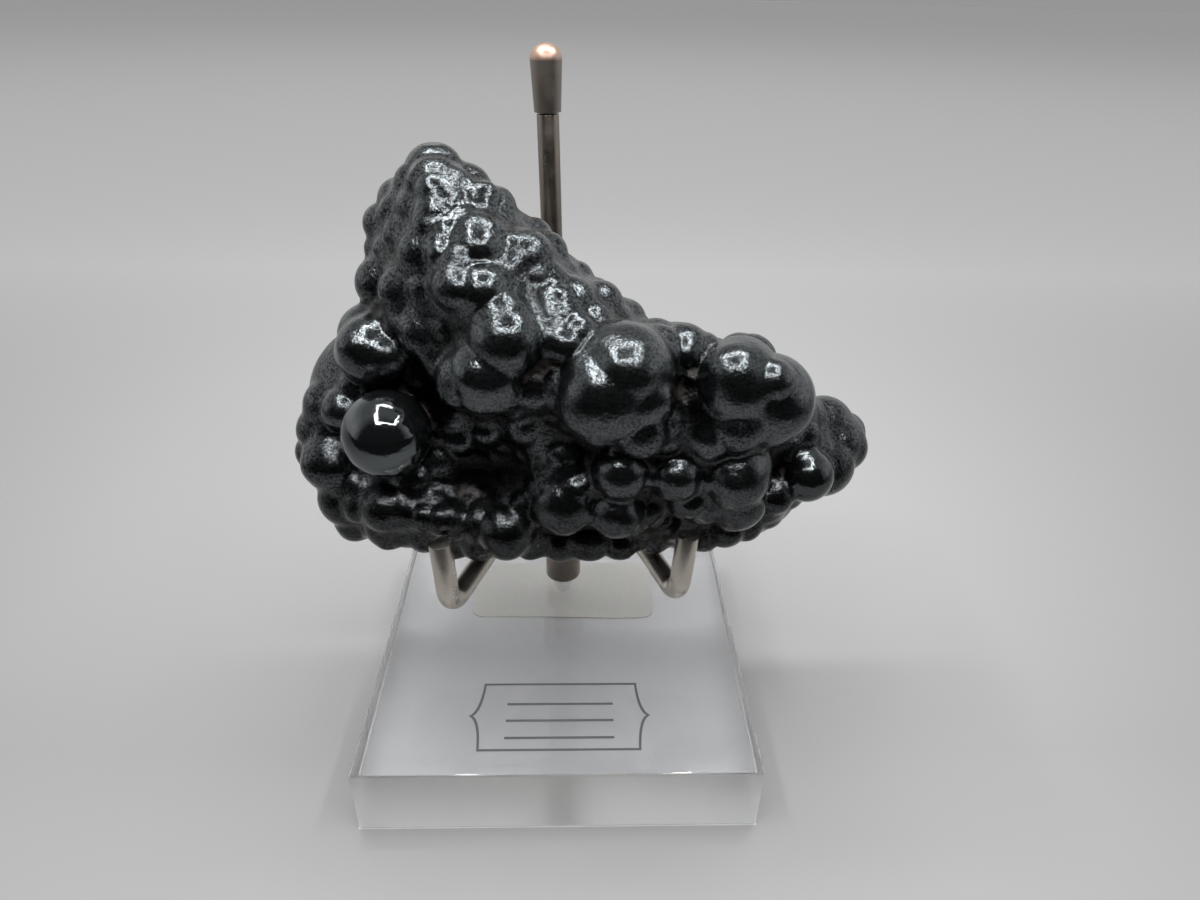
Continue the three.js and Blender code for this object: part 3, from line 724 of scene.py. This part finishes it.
    def depth_near(self, points, near, fillet):
        """As depth, from the masses and the balls that are near."""
        balls = self.balls[near]
        away = points[:, None, :] - balls[None, :, :3]
        length = np.maximum(np.linalg.norm(away, axis=2), 1e-6)
        off = points[:, None, :] - self.mass_centres
        local = np.einsum("nmi,mij->nmj", off, self.mass_turns) / self.mass_sizes
        size = np.maximum(np.linalg.norm(local, axis=2), 1e-6)
        steep = np.einsum("mij,nmj->nmi", self.mass_turns, local / self.mass_sizes) / size[..., None]
        steepness = np.maximum(np.linalg.norm(steep, axis=2), 1e-6)
        every = np.hstack([length - balls[:, 3], (size - 1) / steepness])
        low = every.min(axis=1, keepdims=True)
        weight = np.exp((low - every) / fillet)
        total = weight.sum(axis=1, keepdims=True)
        depth = (low - fillet * np.log(total))[:, 0]
        weight /= total
        slope = np.einsum("nb,nbi->ni", weight[:, :len(near)] / length, away)
        slope += np.einsum("nm,nmi->ni", weight[:, len(near):] / steepness, steep)
        forms = np.append(near, len(self.balls) + np.arange(len(self.mass_centres)))
        return depth, slope, forms[every.argmin(axis=1)]


def break_relief(u, v):
    """Uneven relief of a broken face, from -1 to 1."""
    return (0.5 * np.sin(0.31 * u + 1.3) * np.cos(0.27 * v + 0.4)
            + 0.3 * np.sin(0.53 * v - 0.21 * u) + 0.2 * np.sin(0.83 * u + 0.61 * v))


def crackle(points, size, octaves=4):
    """Fractal noise at each point, from about -1 to 1, with features of a size in millimetres."""
    return np.array([noise.fractal(Vector(p) / size, 0.8, 2.0, octaves) for p in points])


def ball_place(centre, size, turn=None):
    """The matrix that makes a unit ball one ball or one leaning ellipsoid of the stone."""
    turn = Matrix.Identity(4) if turn is None else Matrix(turn).to_4x4()
    return Matrix.Translation(centre) @ turn @ Matrix.Diagonal((*(np.ones(3) * size), 1))


def copies(places, detail):
    """Copies of one round ball, each placed by a matrix, joined in one mesh."""
    bm = bmesh.new()
    bmesh.ops.create_icosphere(bm, subdivisions=detail, radius=1)
    unit = np.array([(*v.co, 1) for v in bm.verts])
    corners = np.array([[v.index for v in f.verts] for f in bm.faces])
    bm.free()
    spots = np.einsum("pij,vj->pvi", np.array(places), unit)[..., :3].reshape(-1, 3)
    faces = (corners + len(unit) * np.arange(len(places))[:, None, None]).reshape(-1, 3)
    mesh = bpy.data.meshes.new("copies")
    mesh.from_pydata(spots.tolist(), [], faces.tolist())
    return mesh


def round_lumps(growth, cell):
    """A closed mesh of all balls and masses on a grid, cut off at the back and underneath."""
    bm = bmesh.new()
    bm.from_mesh(copies([ball_place(b[:3], b[3]) for b in growth.balls], BALL_DETAIL))
    bm.from_mesh(copies([ball_place(*mass) for mass in growth.masses], MASS_DETAIL))
    for _, _, ground in growth.grounds:
        bm.from_mesh(ground)
    on_grid(bm, cell)
    for point, way in (((0, STONE_BACK, STONE_BOTTOM), BACK_WAY),
                       ((0, 0, STONE_BOTTOM + 0.1), DOWN_WAY)):
        cut = bmesh.ops.bisect_plane(bm, geom=bm.verts[:] + bm.edges[:] + bm.faces[:], dist=1e-5,
                                     plane_co=point, plane_no=way, clear_outer=True)
        bmesh.ops.holes_fill(bm, edges=only(bmesh.types.BMEdge, cut["geom_cut"]), sides=0)
    on_grid(bm, cell)
    drop_inner_shells(bm)
    return bm


def drop_inner_shells(bm):
    """Keeps only the shell that holds the highest point."""
    outer = {max(bm.verts, key=lambda v: v.co.z)}
    rim = outer
    while rim:
        rim = {e.other_vert(v) for v in rim for e in v.link_edges} - outer
        outer = outer | rim
    bmesh.ops.delete(bm, geom=[v for v in bm.verts if v not in outer], context="VERTS")


def on_grid(bm, cell):
    """Turns a bmesh into its voxel remesh."""
    mesh = bpy.data.meshes.new("grid")
    bm.to_mesh(mesh)
    bm.clear()
    holder = put_object("grid", mesh)
    remesh = holder.modifiers.new("grid", "REMESH")
    remesh.mode = "VOXEL"
    remesh.voxel_size = cell
    bm.from_mesh(evaluated_mesh(holder))
    bpy.data.objects.remove(holder)


def rod_clearance(points, corners, radius):
    """Distance from each point to a rod through some corners."""
    best = np.full(len(points), 1e9)
    for a, b in zip(corners, corners[1:]):
        a, b = np.array(a, float), np.array(b, float)
        t = np.clip((points - a) @ (b - a) / ((b - a) @ (b - a)), 0, 1)
        best = np.minimum(best, np.linalg.norm(points - a - t[:, None] * (b - a), axis=1))
    return best - radius


def skin(growth, points):
    """Signed distance to the finished skin: the growth, less what was broken off it. Also its
    slope, the form it belongs to and how far it is a broken face."""
    depth, slope, nearest = growth.filled(points)
    x, y, z = points.T
    fine = crackle(points * (1, 1, 0.5), CRACKLE)
    back = y - (STONE_BACK + BACK_LEAN * (z - STONE_BOTTOM) + 0.8 * break_relief(x, z)
                + 0.5 * fine - 0.3)
    under = STONE_BOTTOM + 0.4 + np.maximum(0, break_relief(y, x)) + 0.4 * fine - z
    broken = np.clip((y + 1.5 * fine - BREAK_FROM) / 2, 0, 1)
    depth = depth + broken * (0.35 + 0.6 * fine)
    for face, way in ((back, BACK_WAY), (under, DOWN_WAY)):
        out = face > depth
        depth = np.where(out, face, depth)
        slope = np.where(out[:, None], np.array(way), slope)
        broken = np.where(out, 1.0, broken)
    return depth, slope, nearest, broken


def read(items, name, width, kind=float):
    """What all of a mesh's vertices or edges say, as an array with a row for each."""
    values = np.empty(len(items) * width, kind)
    items.foreach_get(name, values)
    return values.reshape(-1, width)


def even_out(values, edges, times):
    """Averages a value at each vertex with its neighbours' a number of times."""
    count = len(values)
    a, b = edges.T
    number = np.bincount(a, minlength=count) + np.bincount(b, minlength=count)
    for _ in range(times):
        total = np.stack([np.bincount(a, v[b], count) + np.bincount(b, v[a], count)
                          for v in values.T], axis=1)
        values = 0.5 * values + 0.5 * total / number[:, None]
    return values


def sunk(points, smooth, normals, deepest):
    """How far each point lies under a smoothed skin, from 0 to 1 at the deepest."""
    return np.clip(((smooth - points) * normals).sum(axis=1) / deepest, 0, 1)


def hematite_mesh(settings):
    """The stone's mesh in metres, with what its material reads at each vertex."""
    growth = Growth(LOBES, settings)
    cell = settings.grid / MM
    mesh = as_mesh(round_lumps(growth, cell * (1)), "hematite")
    points, edges = read(mesh.vertices, "co", 3), read(mesh.edges, "vertices", 2, np.int32)
    for _ in range(FITTING_ROUNDS):
        depth, slope, nearest, broken = skin(growth, points)
        steep = np.maximum((slope ** 2).sum(axis=1), 0.2)
        step = np.clip(depth / steep, -1.2 * cell, 1.2 * cell)
        points = points - step[:, None] * slope

    smooth = even_out(points, edges, GROOVE_ROUNDS)
    mesh.vertices.foreach_set("co", smooth.ravel())
    mesh.update()
    normals = read(mesh.vertices, "normal", 3)
    groove = sunk(points, smooth, normals, GROOVE_DEEP)
    hollow = sunk(points, even_out(smooth, edges, HOLLOW_ROUNDS), normals, HOLLOW_DEEP)

    # Keep off the arms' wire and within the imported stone's box
    for corners in arm_corners():
        near = rod_clearance(points, corners, ARM_DIAMETER / 2 + CLEARANCE)
        points = points - np.maximum(0, -near)[:, None] * normals
    low, high = np.array(STONE_LOW) / MM, np.array(STONE_HIGH) / MM
    points = np.clip(points, low + BOX_MARGIN, high - BOX_MARGIN)

    polishes = np.append(growth.balls[:, 4], np.zeros(len(growth.masses)))[nearest]
    centres = np.vstack([growth.balls[:, :3], growth.mass_centres])[nearest]
    radii = np.append(growth.balls[:, 3], growth.mass_sizes.mean(axis=1))[nearest]
    tilt = np.clip(((points - centres) / radii[:, None]) @ np.array(ARC_AXIS), -1, 1)
    values = {"polish": polishes * (1 - broken), "groove": groove, "hollow": hollow,
              "broken": broken, "arc": np.arccos(tilt) * radii}
    for name, value in values.items():
        layer = mesh.attributes.new(name, "FLOAT", "POINT")
        layer.data.foreach_set("value", value.astype(np.float32))
    mesh.vertices.foreach_set("co", (points * MM).ravel())
    mesh.update()
    print("stone:", len(points), "vertices,", len(mesh.polygons), "faces")
    return mesh


def arm_corners():
    """The two arms' centre lines in millimetres: elbow, hook and tip."""
    return [[(*elbow, ARM_Z), (*hook, ARM_Z), tip]
            for elbow, hook, tip in ((LEFT_ELBOW, LEFT_HOOK, LEFT_TIP),
                                     (RIGHT_ELBOW, RIGHT_HOOK, RIGHT_TIP))]


class HEMATITE_OT_stone(bpy.types.Operator):
    """Grow the botryoidal hematite"""

    bl_idname = "hematite.stone"
    bl_label = "Stone"

    def execute(self, context):
        settings = context.scene.hematite_settings
        put_mesh(hematite_mesh(settings), "botryoidal_stone", "carriage", ["hematite"],
                 polished_hematite(settings), sharp=180)
        return {"FINISHED"}


# --- the stand -----------------------------------------------------------


class HEMATITE_OT_base(bpy.types.Operator):
    """Cast the clear block, with its sticker underneath and its label on top"""

    bl_idname = "hematite.base"
    bl_label = "Clear Base"

    def execute(self, context):
        settings = context.scene.hematite_stand
        clear_block(settings)
        paper_sticker(settings)
        plaque_label(settings)
        return {"FINISHED"}


def box_between(bm, low, high):
    """Adds a box to a bmesh."""
    bmesh.ops.create_cube(bm, size=1, matrix=Matrix.Translation((low + high) / 2)
                          @ Matrix.Diagonal((*(high - low), 1)))


def clear_block(settings):
    """The block, a hair off the floor so that the sticker's face is the lowest, with its bore."""
    bm = bmesh.new()
    box_between(bm, BASE_LOW + UP * BASE_LIFT * MM, BASE_HIGH)
    soften(bm, settings.edge / MM, segments=3)
    block = as_mesh(bm, "clear_block")
    bm = bmesh.new()
    bore = SOCKET_BORE / 2 * MM
    bmesh.ops.create_cone(bm, cap_ends=True, segments=64, radius1=bore, radius2=bore,
                          depth=2 * POST_SUNK * MM, matrix=Matrix.Translation(POST_FOOT))
    put_mesh(cut_mesh(block, as_mesh(bm, "drill")), "clear_block", "stand", ["acrylic_base"],
             cast_acrylic(settings.acrylic))


def cut_mesh(mesh, cutter):
    """Takes one mesh out of another."""
    block, tool = put_object("block", mesh), put_object("tool", cutter)
    cut = block.modifiers.new("cut", "BOOLEAN")
    cut.operation, cut.object, cut.solver = "DIFFERENCE", tool, "EXACT"
    made = evaluated_mesh(block).copy()
    bpy.data.objects.remove(block)
    bpy.data.objects.remove(tool)
    return made


def paper_sticker(settings):
    """The sticker in its shallow recess, with round corners."""
    bm = bmesh.new()
    box_between(bm, *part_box("underside_sticker"))
    upright = [e for e in bm.edges if abs(e.verts[0].co.z - e.verts[1].co.z) > 1e-5]
    bmesh.ops.bevel(bm, geom=upright, offset=STICKER_CORNER * MM, offset_type="OFFSET", segments=10,
                    profile=0.5, affect="EDGES", material=-1)
    put_piece(bm, "paper_sticker", "stand", ["underside_sticker"],
              flat_print("matt paper", settings.paper, 0.7))


def plaque_outline(low, high, inset=0.0, steps=16):
    """The label's outline in millimetres: straight front and back, each side drawn out to a
    point like a brace."""
    middle = (low.y + high.y) / 2 / MM
    half = LABEL_HALF_WIDTH - inset
    front, back = low.y / MM + inset, high.y / MM - inset
    point = LABEL_HALF_WIDTH + LABEL_POINT - 1.6 * inset
    shoulder = LABEL_HALF_WIDTH + LABEL_SHOULDER - inset
    outline = []
    for side in (1, -1):
        ends = ((half, front), (shoulder, middle - LABEL_BRACE), (point, middle))
        far = ((point, middle), (shoulder, middle + LABEL_BRACE), (half, back))
        run = [bezier(*ends, i / steps) for i in range(steps)]
        run += [bezier(*far, i / steps) for i in range(steps + 1)]
        outline += [(side * x, y) for x, y in run[::side]]
    return outline


def bezier(a, b, c, t):
    """The point at t from 0 to 1 on a curve from a to c that is drawn towards b."""
    return tuple((1 - t) ** 2 * p + 2 * t * (1 - t) * q + t * t * r for p, q, r in zip(a, b, c))


def plaque_label(settings):
    """A printed outline and three ruled lines on top of the block."""
    low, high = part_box("label_film")
    bm = bmesh.new()
    edges = []
    for inset in (0, LABEL_LINE):
        ring = [bm.verts.new((x * MM, y * MM, low.z)) for x, y in plaque_outline(low, high, inset)]
        edges += [bm.edges.new(pair) for pair in zip(ring, ring[1:] + ring[:1])]
    faces = bmesh.ops.bridge_loops(bm, edges=edges)["faces"]
    middle = (low.y + high.y) / 2 - RULES_FORWARD * MM
    for row in (-1, 0, 1):
        place = Matrix.Translation((0, middle + row * RULE_PITCH * MM, low.z))
        rule = Matrix.Diagonal((RULE_LENGTH * MM, RULE_WIDTH * MM, 1, 1))
        made = bmesh.ops.create_grid(bm, x_segments=1, y_segments=1, size=0.5, matrix=place @ rule)
        faces += list({f for v in made["verts"] for f in v.link_faces})
    top = bmesh.ops.extrude_face_region(bm, geom=faces)["geom"]
    bmesh.ops.translate(bm, vec=(0, 0, (high.z - low.z) * PRINT_HEIGHT),
                        verts=only(bmesh.types.BMVert, top))
    put_piece(bm, "label_print", "stand", ["label_film"],
              flat_print("printed ink", settings.ink, 0.45))


class HEMATITE_OT_post(bpy.types.Operator):
    """Turn the post, its cap and its socket"""

    bl_idname = "hematite.post"
    bl_label = "Post, Cap and Socket"

    def execute(self, context):
        settings = context.scene.hematite_stand
        steel = satin_steel("drawn steel bar", settings.post)
        r, tenon = POST_DIAMETER / 2, TENON_DIAMETER / 2
        foot, top = CLEARANCE - POST_SUNK, POST_SHOULDER + TENON_LENGTH
        post = turned([(0, foot), (r, foot), (r, POST_SHOULDER), (tenon, POST_SHOULDER),
                       (tenon, top), (0, top)])
        soften(post, 0.15)
        put_piece(on_post(post), "steel_post", "stand", ["post"], steel)

        head, dome_start = CAP_HEAD / 2, CAP_LENGTH - CAP_DOME
        bore, bore_end = tenon + CLEARANCE, TENON_LENGTH + CLEARANCE
        angles = [math.radians(90 * i / 12) for i in range(13)]
        dome = [(head * math.cos(a), dome_start + CAP_DOME * math.sin(a)) for a in angles[:-1]]
        cap = turned([(0, bore_end), (bore, bore_end), (bore, 0), (CAP_WAIST / 2, 0), *dome,
                      (0, CAP_LENGTH)])
        # The cap takes a pinkish colour from about where its dome starts up
        put_piece(on_post(cap, POST_SHOULDER + CLEARANCE), "bullet_cap", "stand", ["post_cap"],
                  satin_steel("turned cap metal", settings.cap, 0.42, "#cda893",
                                           CAD_BOX[1].z - CAP_DOME * MM))

        size = (SOCKET_HIGH - SOCKET_LOW) / MM
        bore, outer = SOCKET_BORE / 2, size.x / 2
        socket = turned([(bore, 0), (outer, 0), (outer, size.z), (bore, size.z)])
        soften(socket, 0.45, 3)
        bmesh.ops.translate(socket, vec=POST_FOOT, verts=socket.verts)
        put_piece(socket, "steel_socket", "stand", ["post_socket"], steel)
        return {"FINISHED"}


class HEMATITE_OT_bracket(bpy.types.Operator):
    """Make the sliding collar, its thumb screw and the two bent arms"""

    bl_idname = "hematite.bracket"
    bl_label = "Bracket"

    def execute(self, context):
        steel = satin_steel("satin stainless steel", context.scene.hematite_stand.steel)
        r, half = COLLAR_DIAMETER / 2, COLLAR_HEIGHT / 2
        collar = turned([(COLLAR_BORE, -half), (r, -half), (r, half), (COLLAR_BORE, half)])
        soften(collar, 0.5, 3)
        put_piece(on_post(collar, COLLAR_UP), "collar_ring", "carriage", ["collar"],
                  steel)
        thumb_screw(steel)
        for side, corners in zip(("left", "right"), arm_corners()):
            bent_arm(f"{side}_prong_arm", f"{side}_arm", corners, steel)
        return {"FINISHED"}


def thumb_screw(steel):
    """A headed screw behind the collar, its head knurled by flutes."""
    shank, head = SCREW_DIAMETER / 2, SCREW_HEAD_DIAMETER / 2
    tip, start, end = COLLAR_BORE, SCREW_HEAD_OFFSET, SCREW_HEAD_OFFSET + SCREW_HEAD_LENGTH
    bm = turned([(0, tip), (shank, tip), (shank, start), (head - SCREW_CHAMFER, start),
                 (head, start + SCREW_CHAMFER), (head, end - SCREW_CHAMFER),
                 (head - SCREW_CHAMFER, end), (0, end)], steps=SCREW_FLUTES * 4)
    for v in bm.verts:
        if v.co.xy.length > (head - 0.1) * MM:
            turn = math.atan2(v.co.y, v.co.x)
            v.co.xy *= 1 - FLUTE_DEPTH * (0.5 + 0.5 * math.cos(SCREW_FLUTES * turn))
    bmesh.ops.rotate(bm, verts=bm.verts, matrix=Matrix.Rotation(-math.pi / 2, 3, "X"))
    put_piece(on_post(bm, COLLAR_UP), "knurled_screw", "carriage", ["thumb_screw"],
              steel, sharp=35)


def bent_arm(name, node, corners, steel):
    """Round wire from the collar through its elbow and hook to its cut tip."""
    elbow, hook, tip = (Vector(c) * MM for c in corners)
    axis = POST_PLACE @ Vector((0, 0, COLLAR_UP * MM))
    axis.z = elbow.z
    start = axis + (elbow - axis).normalized() * (COLLAR_DIAMETER / 2 - 0.4) * MM
    line = [start, elbow, hook, tip]
    bm = bmesh.new()
    ring = bmesh.ops.create_circle(bm, cap_ends=False, segments=32, radius=ARM_DIAMETER / 2 * MM)
    way = (line[1] - line[0]).normalized()
    bmesh.ops.transform(bm, verts=ring["verts"], matrix=Matrix.Translation(start)
                        @ UP.rotation_difference(way).to_matrix().to_4x4())
    loop = bm.edges[:]
    bmesh.ops.contextual_create(bm, geom=loop)
    here = start
    for before, corner, after in zip(line, line[1:], line[2:]):
        into, out = (corner - before).normalized(), (after - corner).normalized()
        turn = into.angle(out)
        back = ARM_BEND * MM * math.tan(turn / 2)
        loop = pull(bm, loop, corner - into * back - here)
        side = into.cross(out).normalized()
        centre = corner - into * back + side.cross(into) * ARM_BEND * MM
        swept = bmesh.ops.spin(bm, geom=loop + verts_of(loop), cent=centre, axis=side, angle=turn,
                               steps=12, use_duplicate=False)
        loop = only(bmesh.types.BMEdge, swept["geom_last"])
        here = corner + out * back
    loop = pull(bm, loop, line[-1] - here)
    bmesh.ops.contextual_create(bm, geom=loop)
    bmesh.ops.remove_doubles(bm, verts=bm.verts, dist=1e-6)
    soften(bm, 0.18, 2, 60)
    put_piece(bm, name, "carriage", [node], steel)


def verts_of(edges):
    """The vertices of some edges, each once."""
    return list({v for e in edges for v in e.verts})


def pull(bm, loop, way):
    """Draws an open end of a tube out along a straight way, and returns its new end."""
    made = bmesh.ops.extrude_edge_only(bm, edges=loop)["geom"]
    new = only(bmesh.types.BMVert, made)
    bmesh.ops.translate(bm, vec=way, verts=new)
    return [e for e in only(bmesh.types.BMEdge, made) if set(e.verts) <= set(new)]


# --- stage ---------------------------------------------------------------

CAMERA_AT = Vector((2.908, -132.869, 139.782)) * MM
CAMERA_RIGHT = Vector((0.99952765, -0.02434923, 0.01875062))
CAMERA_UP = Vector((-0.00375504, 0.50879493, 0.86087956))
LAMP_CENTRE = Vector((8, -50, 230)) * MM
LAMP_HALF = 75 * MM
LAMP_STRIP = 15 * MM
FILL_AT = (0, 0.3, 1.6)
FILL_SIZE = 2.4
FILL_POWER = 8

FLOOR_RADIUS = 8
FLOOR_DROP = 0.05 * MM
# From y to y: over the first the mirrored floor comes in out of painted black shade, over the second
# the painted shade on the floor fades and it all gets paler
FLOOR_END = (-175 * MM, -140 * MM)
FLOOR_FADE = (-20 * MM, 300 * MM)
# The floor under the block, painted paler in place of the light that the block gathers there,
# and what the camera sees past the floor
UNDER_BLOCK = "#d8d9db"
FAR_WALL = "#969696"

# How bright the light box is by the sine of the height above the floor
WALL_TONES = ((0.0, 0.7), (0.3, 1.0), (0.5, 0.7), (0.75, 0.4), (0.93, 0.4))


class HEMATITE_OT_stage(bpy.types.Operator):
    """Set the floor, the soft surroundings, the square lamp and the camera"""

    bl_idname = "hematite.stage"
    bl_label = "Stage"

    def execute(self, context):
        settings = context.scene.hematite_stage
        context.scene.view_settings.view_transform = "Standard"
        pale_floor(settings)
        surroundings(context.scene)
        square_lamp(settings)
        soft_fill()
        camera = put_object("camera", bpy.data.cameras.new("camera"))
        camera.data.lens = settings.lens
        camera.data.sensor_width = 36
        camera.data.clip_start = 0.01
        turn = Matrix((CAMERA_RIGHT, CAMERA_UP, CAMERA_RIGHT.cross(CAMERA_UP))).transposed()
        camera.matrix_world = Matrix.Translation(CAMERA_AT) @ turn.to_4x4()
        context.scene.camera = camera
        return {"FINISHED"}


def pale_floor(settings):
    """A pale sheet with painted shade that makes it darker to the front. What the stone mirrors of it
    is painted nearly black from a hand's width in front of the stand, as the shade where the light box
    stops."""
    bm = bmesh.new()
    bmesh.ops.create_circle(bm, cap_ends=True, segments=128, radius=FLOOR_RADIUS,
                            matrix=Matrix.Translation((0, 0, -FLOOR_DROP)))
    floor = put_object("floor", as_mesh(bm, "floor"))
    material, tree = new_material("pale sheet")
    place = add(tree, "TexCoord", output="Object")
    y = add(tree, "SeparateXYZ", {0: place}, "Y")
    # Painted shade: in what the stone mirrors, the floor in front of the light box is nearly black
    inside = add(tree, "MapRange", {
        "From Min": FLOOR_END[0], "From Max": FLOOR_END[1], "To Min": 0.05, "To Max": 1.0,
        "clamp": True, "Value": y})
    seen = add(tree, "LightPath", output="Is Camera Ray")
    kept = add(tree, "Math", {"operation": "MAXIMUM", 0: inside, 1: seen})
    # Painted shade: the floor darkens from the back towards the front
    behind = add(tree, "MapRange", {
        "From Min": FLOOR_FADE[0], "From Max": FLOOR_FADE[1], "Value": y})
    sheet = add(tree, "Mix", {
        "data_type": "RGBA", "A": linear(settings.shaded_near_floor), "B": linear(settings.floor),
        "Factor": behind})
    under = add(tree, "Math", {
        "operation": "LESS_THAN", 0: square_reach(tree, place), 1: BASE_HIGH.x})
    sheet = add(tree, "Mix", {
        "data_type": "RGBA", "B": linear(UNDER_BLOCK), "A": sheet, "Factor": under})
    tint = add(tree, "Mix", {"data_type": "RGBA", "A": (0, 0, 0, 1), "B": sheet, "Factor": kept})
    shader = add(tree, "BsdfDiffuse", {"Color": tint})
    add(tree, "OutputMaterial", {"Surface": shader})
    floor.data.materials.append(material)


def surroundings(scene):
    """A soft light box by direction: grey above, pale walls, dark towards the front opening."""
    scene.world = bpy.data.worlds.new("light box")
    scene.world.use_nodes = True
    tree = scene.world.node_tree
    tree.nodes.clear()
    way = add(tree, "TexCoord", output="Generated")
    apart = add(tree, "SeparateXYZ", {0: way}).node
    walls = add(tree, "ValToRGB", {"Fac": apart.outputs["Z"]})
    stops = walls.node.color_ramp.elements
    for spot, grey in WALL_TONES:
        stop = stops.new(spot) if spot else stops[0]
        stop.color = (grey, grey, grey, 1)
    stops.remove(stops[-1])
    opening = add(tree, "MapRange", {
        "From Min": -0.55, "From Max": -0.2, "To Min": 0.02, "To Max": 1.0, "clamp": True,
        "Value": apart.outputs["Y"]})
    light = add(tree, "Math", {"operation": "MULTIPLY", 0: walls, 1: opening})
    seen = add(tree, "LightPath", output="Is Camera Ray")
    box = add(tree, "Background", {"Color": (1, 1, 1, 1), "Strength": light})
    plain = add(tree, "Background", {"Color": linear(FAR_WALL)})
    mixed = add(tree, "MixShader", {0: seen, 1: box, 2: plain})
    add(tree, "OutputWorld", {"Surface": mixed})


def square_lamp(settings):
    """Four light strips in a square above the stone, a little to the front."""
    for quarter, side in enumerate(("front", "right", "back", "left")):
        lamp = bpy.data.lights.new(f"lamp_{side}", "AREA")
        lamp.shape = "RECTANGLE"
        lamp.size, lamp.size_y = 2 * LAMP_HALF + LAMP_STRIP, LAMP_STRIP
        lamp.energy = settings.lamp * math.pi * lamp.size * lamp.size_y
        holder = put_object(lamp.name, lamp)
        holder.matrix_world = (Matrix.Translation(LAMP_CENTRE)
                               @ Matrix.Rotation(quarter * math.pi / 2, 4, "Z")
                               @ Matrix.Translation((0, -LAMP_HALF, 0)))
        holder.visible_camera = False


def soft_fill():
    """A wide soft light from above that polished things don't mirror."""
    lamp = bpy.data.lights.new("fill", "AREA")
    lamp.shape = "DISK"
    lamp.size = FILL_SIZE
    lamp.energy = FILL_POWER
    holder = put_object("fill", lamp)
    holder.matrix_world = Matrix.Translation(FILL_AT)
    holder.visible_camera = holder.visible_glossy = False


# --- add-on --------------------------------------------------------------


class HEMATITE_PT_panel(bpy.types.Panel):
    bl_label = "Hematite"
    bl_idname = "HEMATITE_PT_panel"
    bl_space_type = "VIEW_3D"
    bl_region_type = "UI"
    bl_category = "Hematite"

    def draw(self, context):
        for group in (context.scene.hematite_settings, context.scene.hematite_stand,
                      context.scene.hematite_stage):
            box = self.layout.box()
            for name in group.__annotations__:
                box.prop(group, name)
        for operator in OPERATORS:
            self.layout.operator(operator.bl_idname)


GROUPS = {"hematite_settings": HematiteSettings, "hematite_stand": StandSettings,
          "hematite_stage": StageSettings}
OPERATORS = (HEMATITE_OT_stage, HEMATITE_OT_base, HEMATITE_OT_post, HEMATITE_OT_bracket,
             HEMATITE_OT_stone)


def register():
    for each in (*GROUPS.values(), *OPERATORS, HEMATITE_PT_panel):
        bpy.utils.register_class(each)
    for name, group in GROUPS.items():
        setattr(bpy.types.Scene, name, bpy.props.PointerProperty(type=group))


def unregister():
    for name in GROUPS:
        delattr(bpy.types.Scene, name)
    for each in reversed((*GROUPS.values(), *OPERATORS, HEMATITE_PT_panel)):
        bpy.utils.unregister_class(each)


def main():
    register()
    bpy.ops.hematite.stage()
    bpy.ops.hematite.base()
    bpy.ops.hematite.post()
    bpy.ops.hematite.bracket()
    bpy.ops.hematite.stone()


if __name__ == "__main__":
    main()
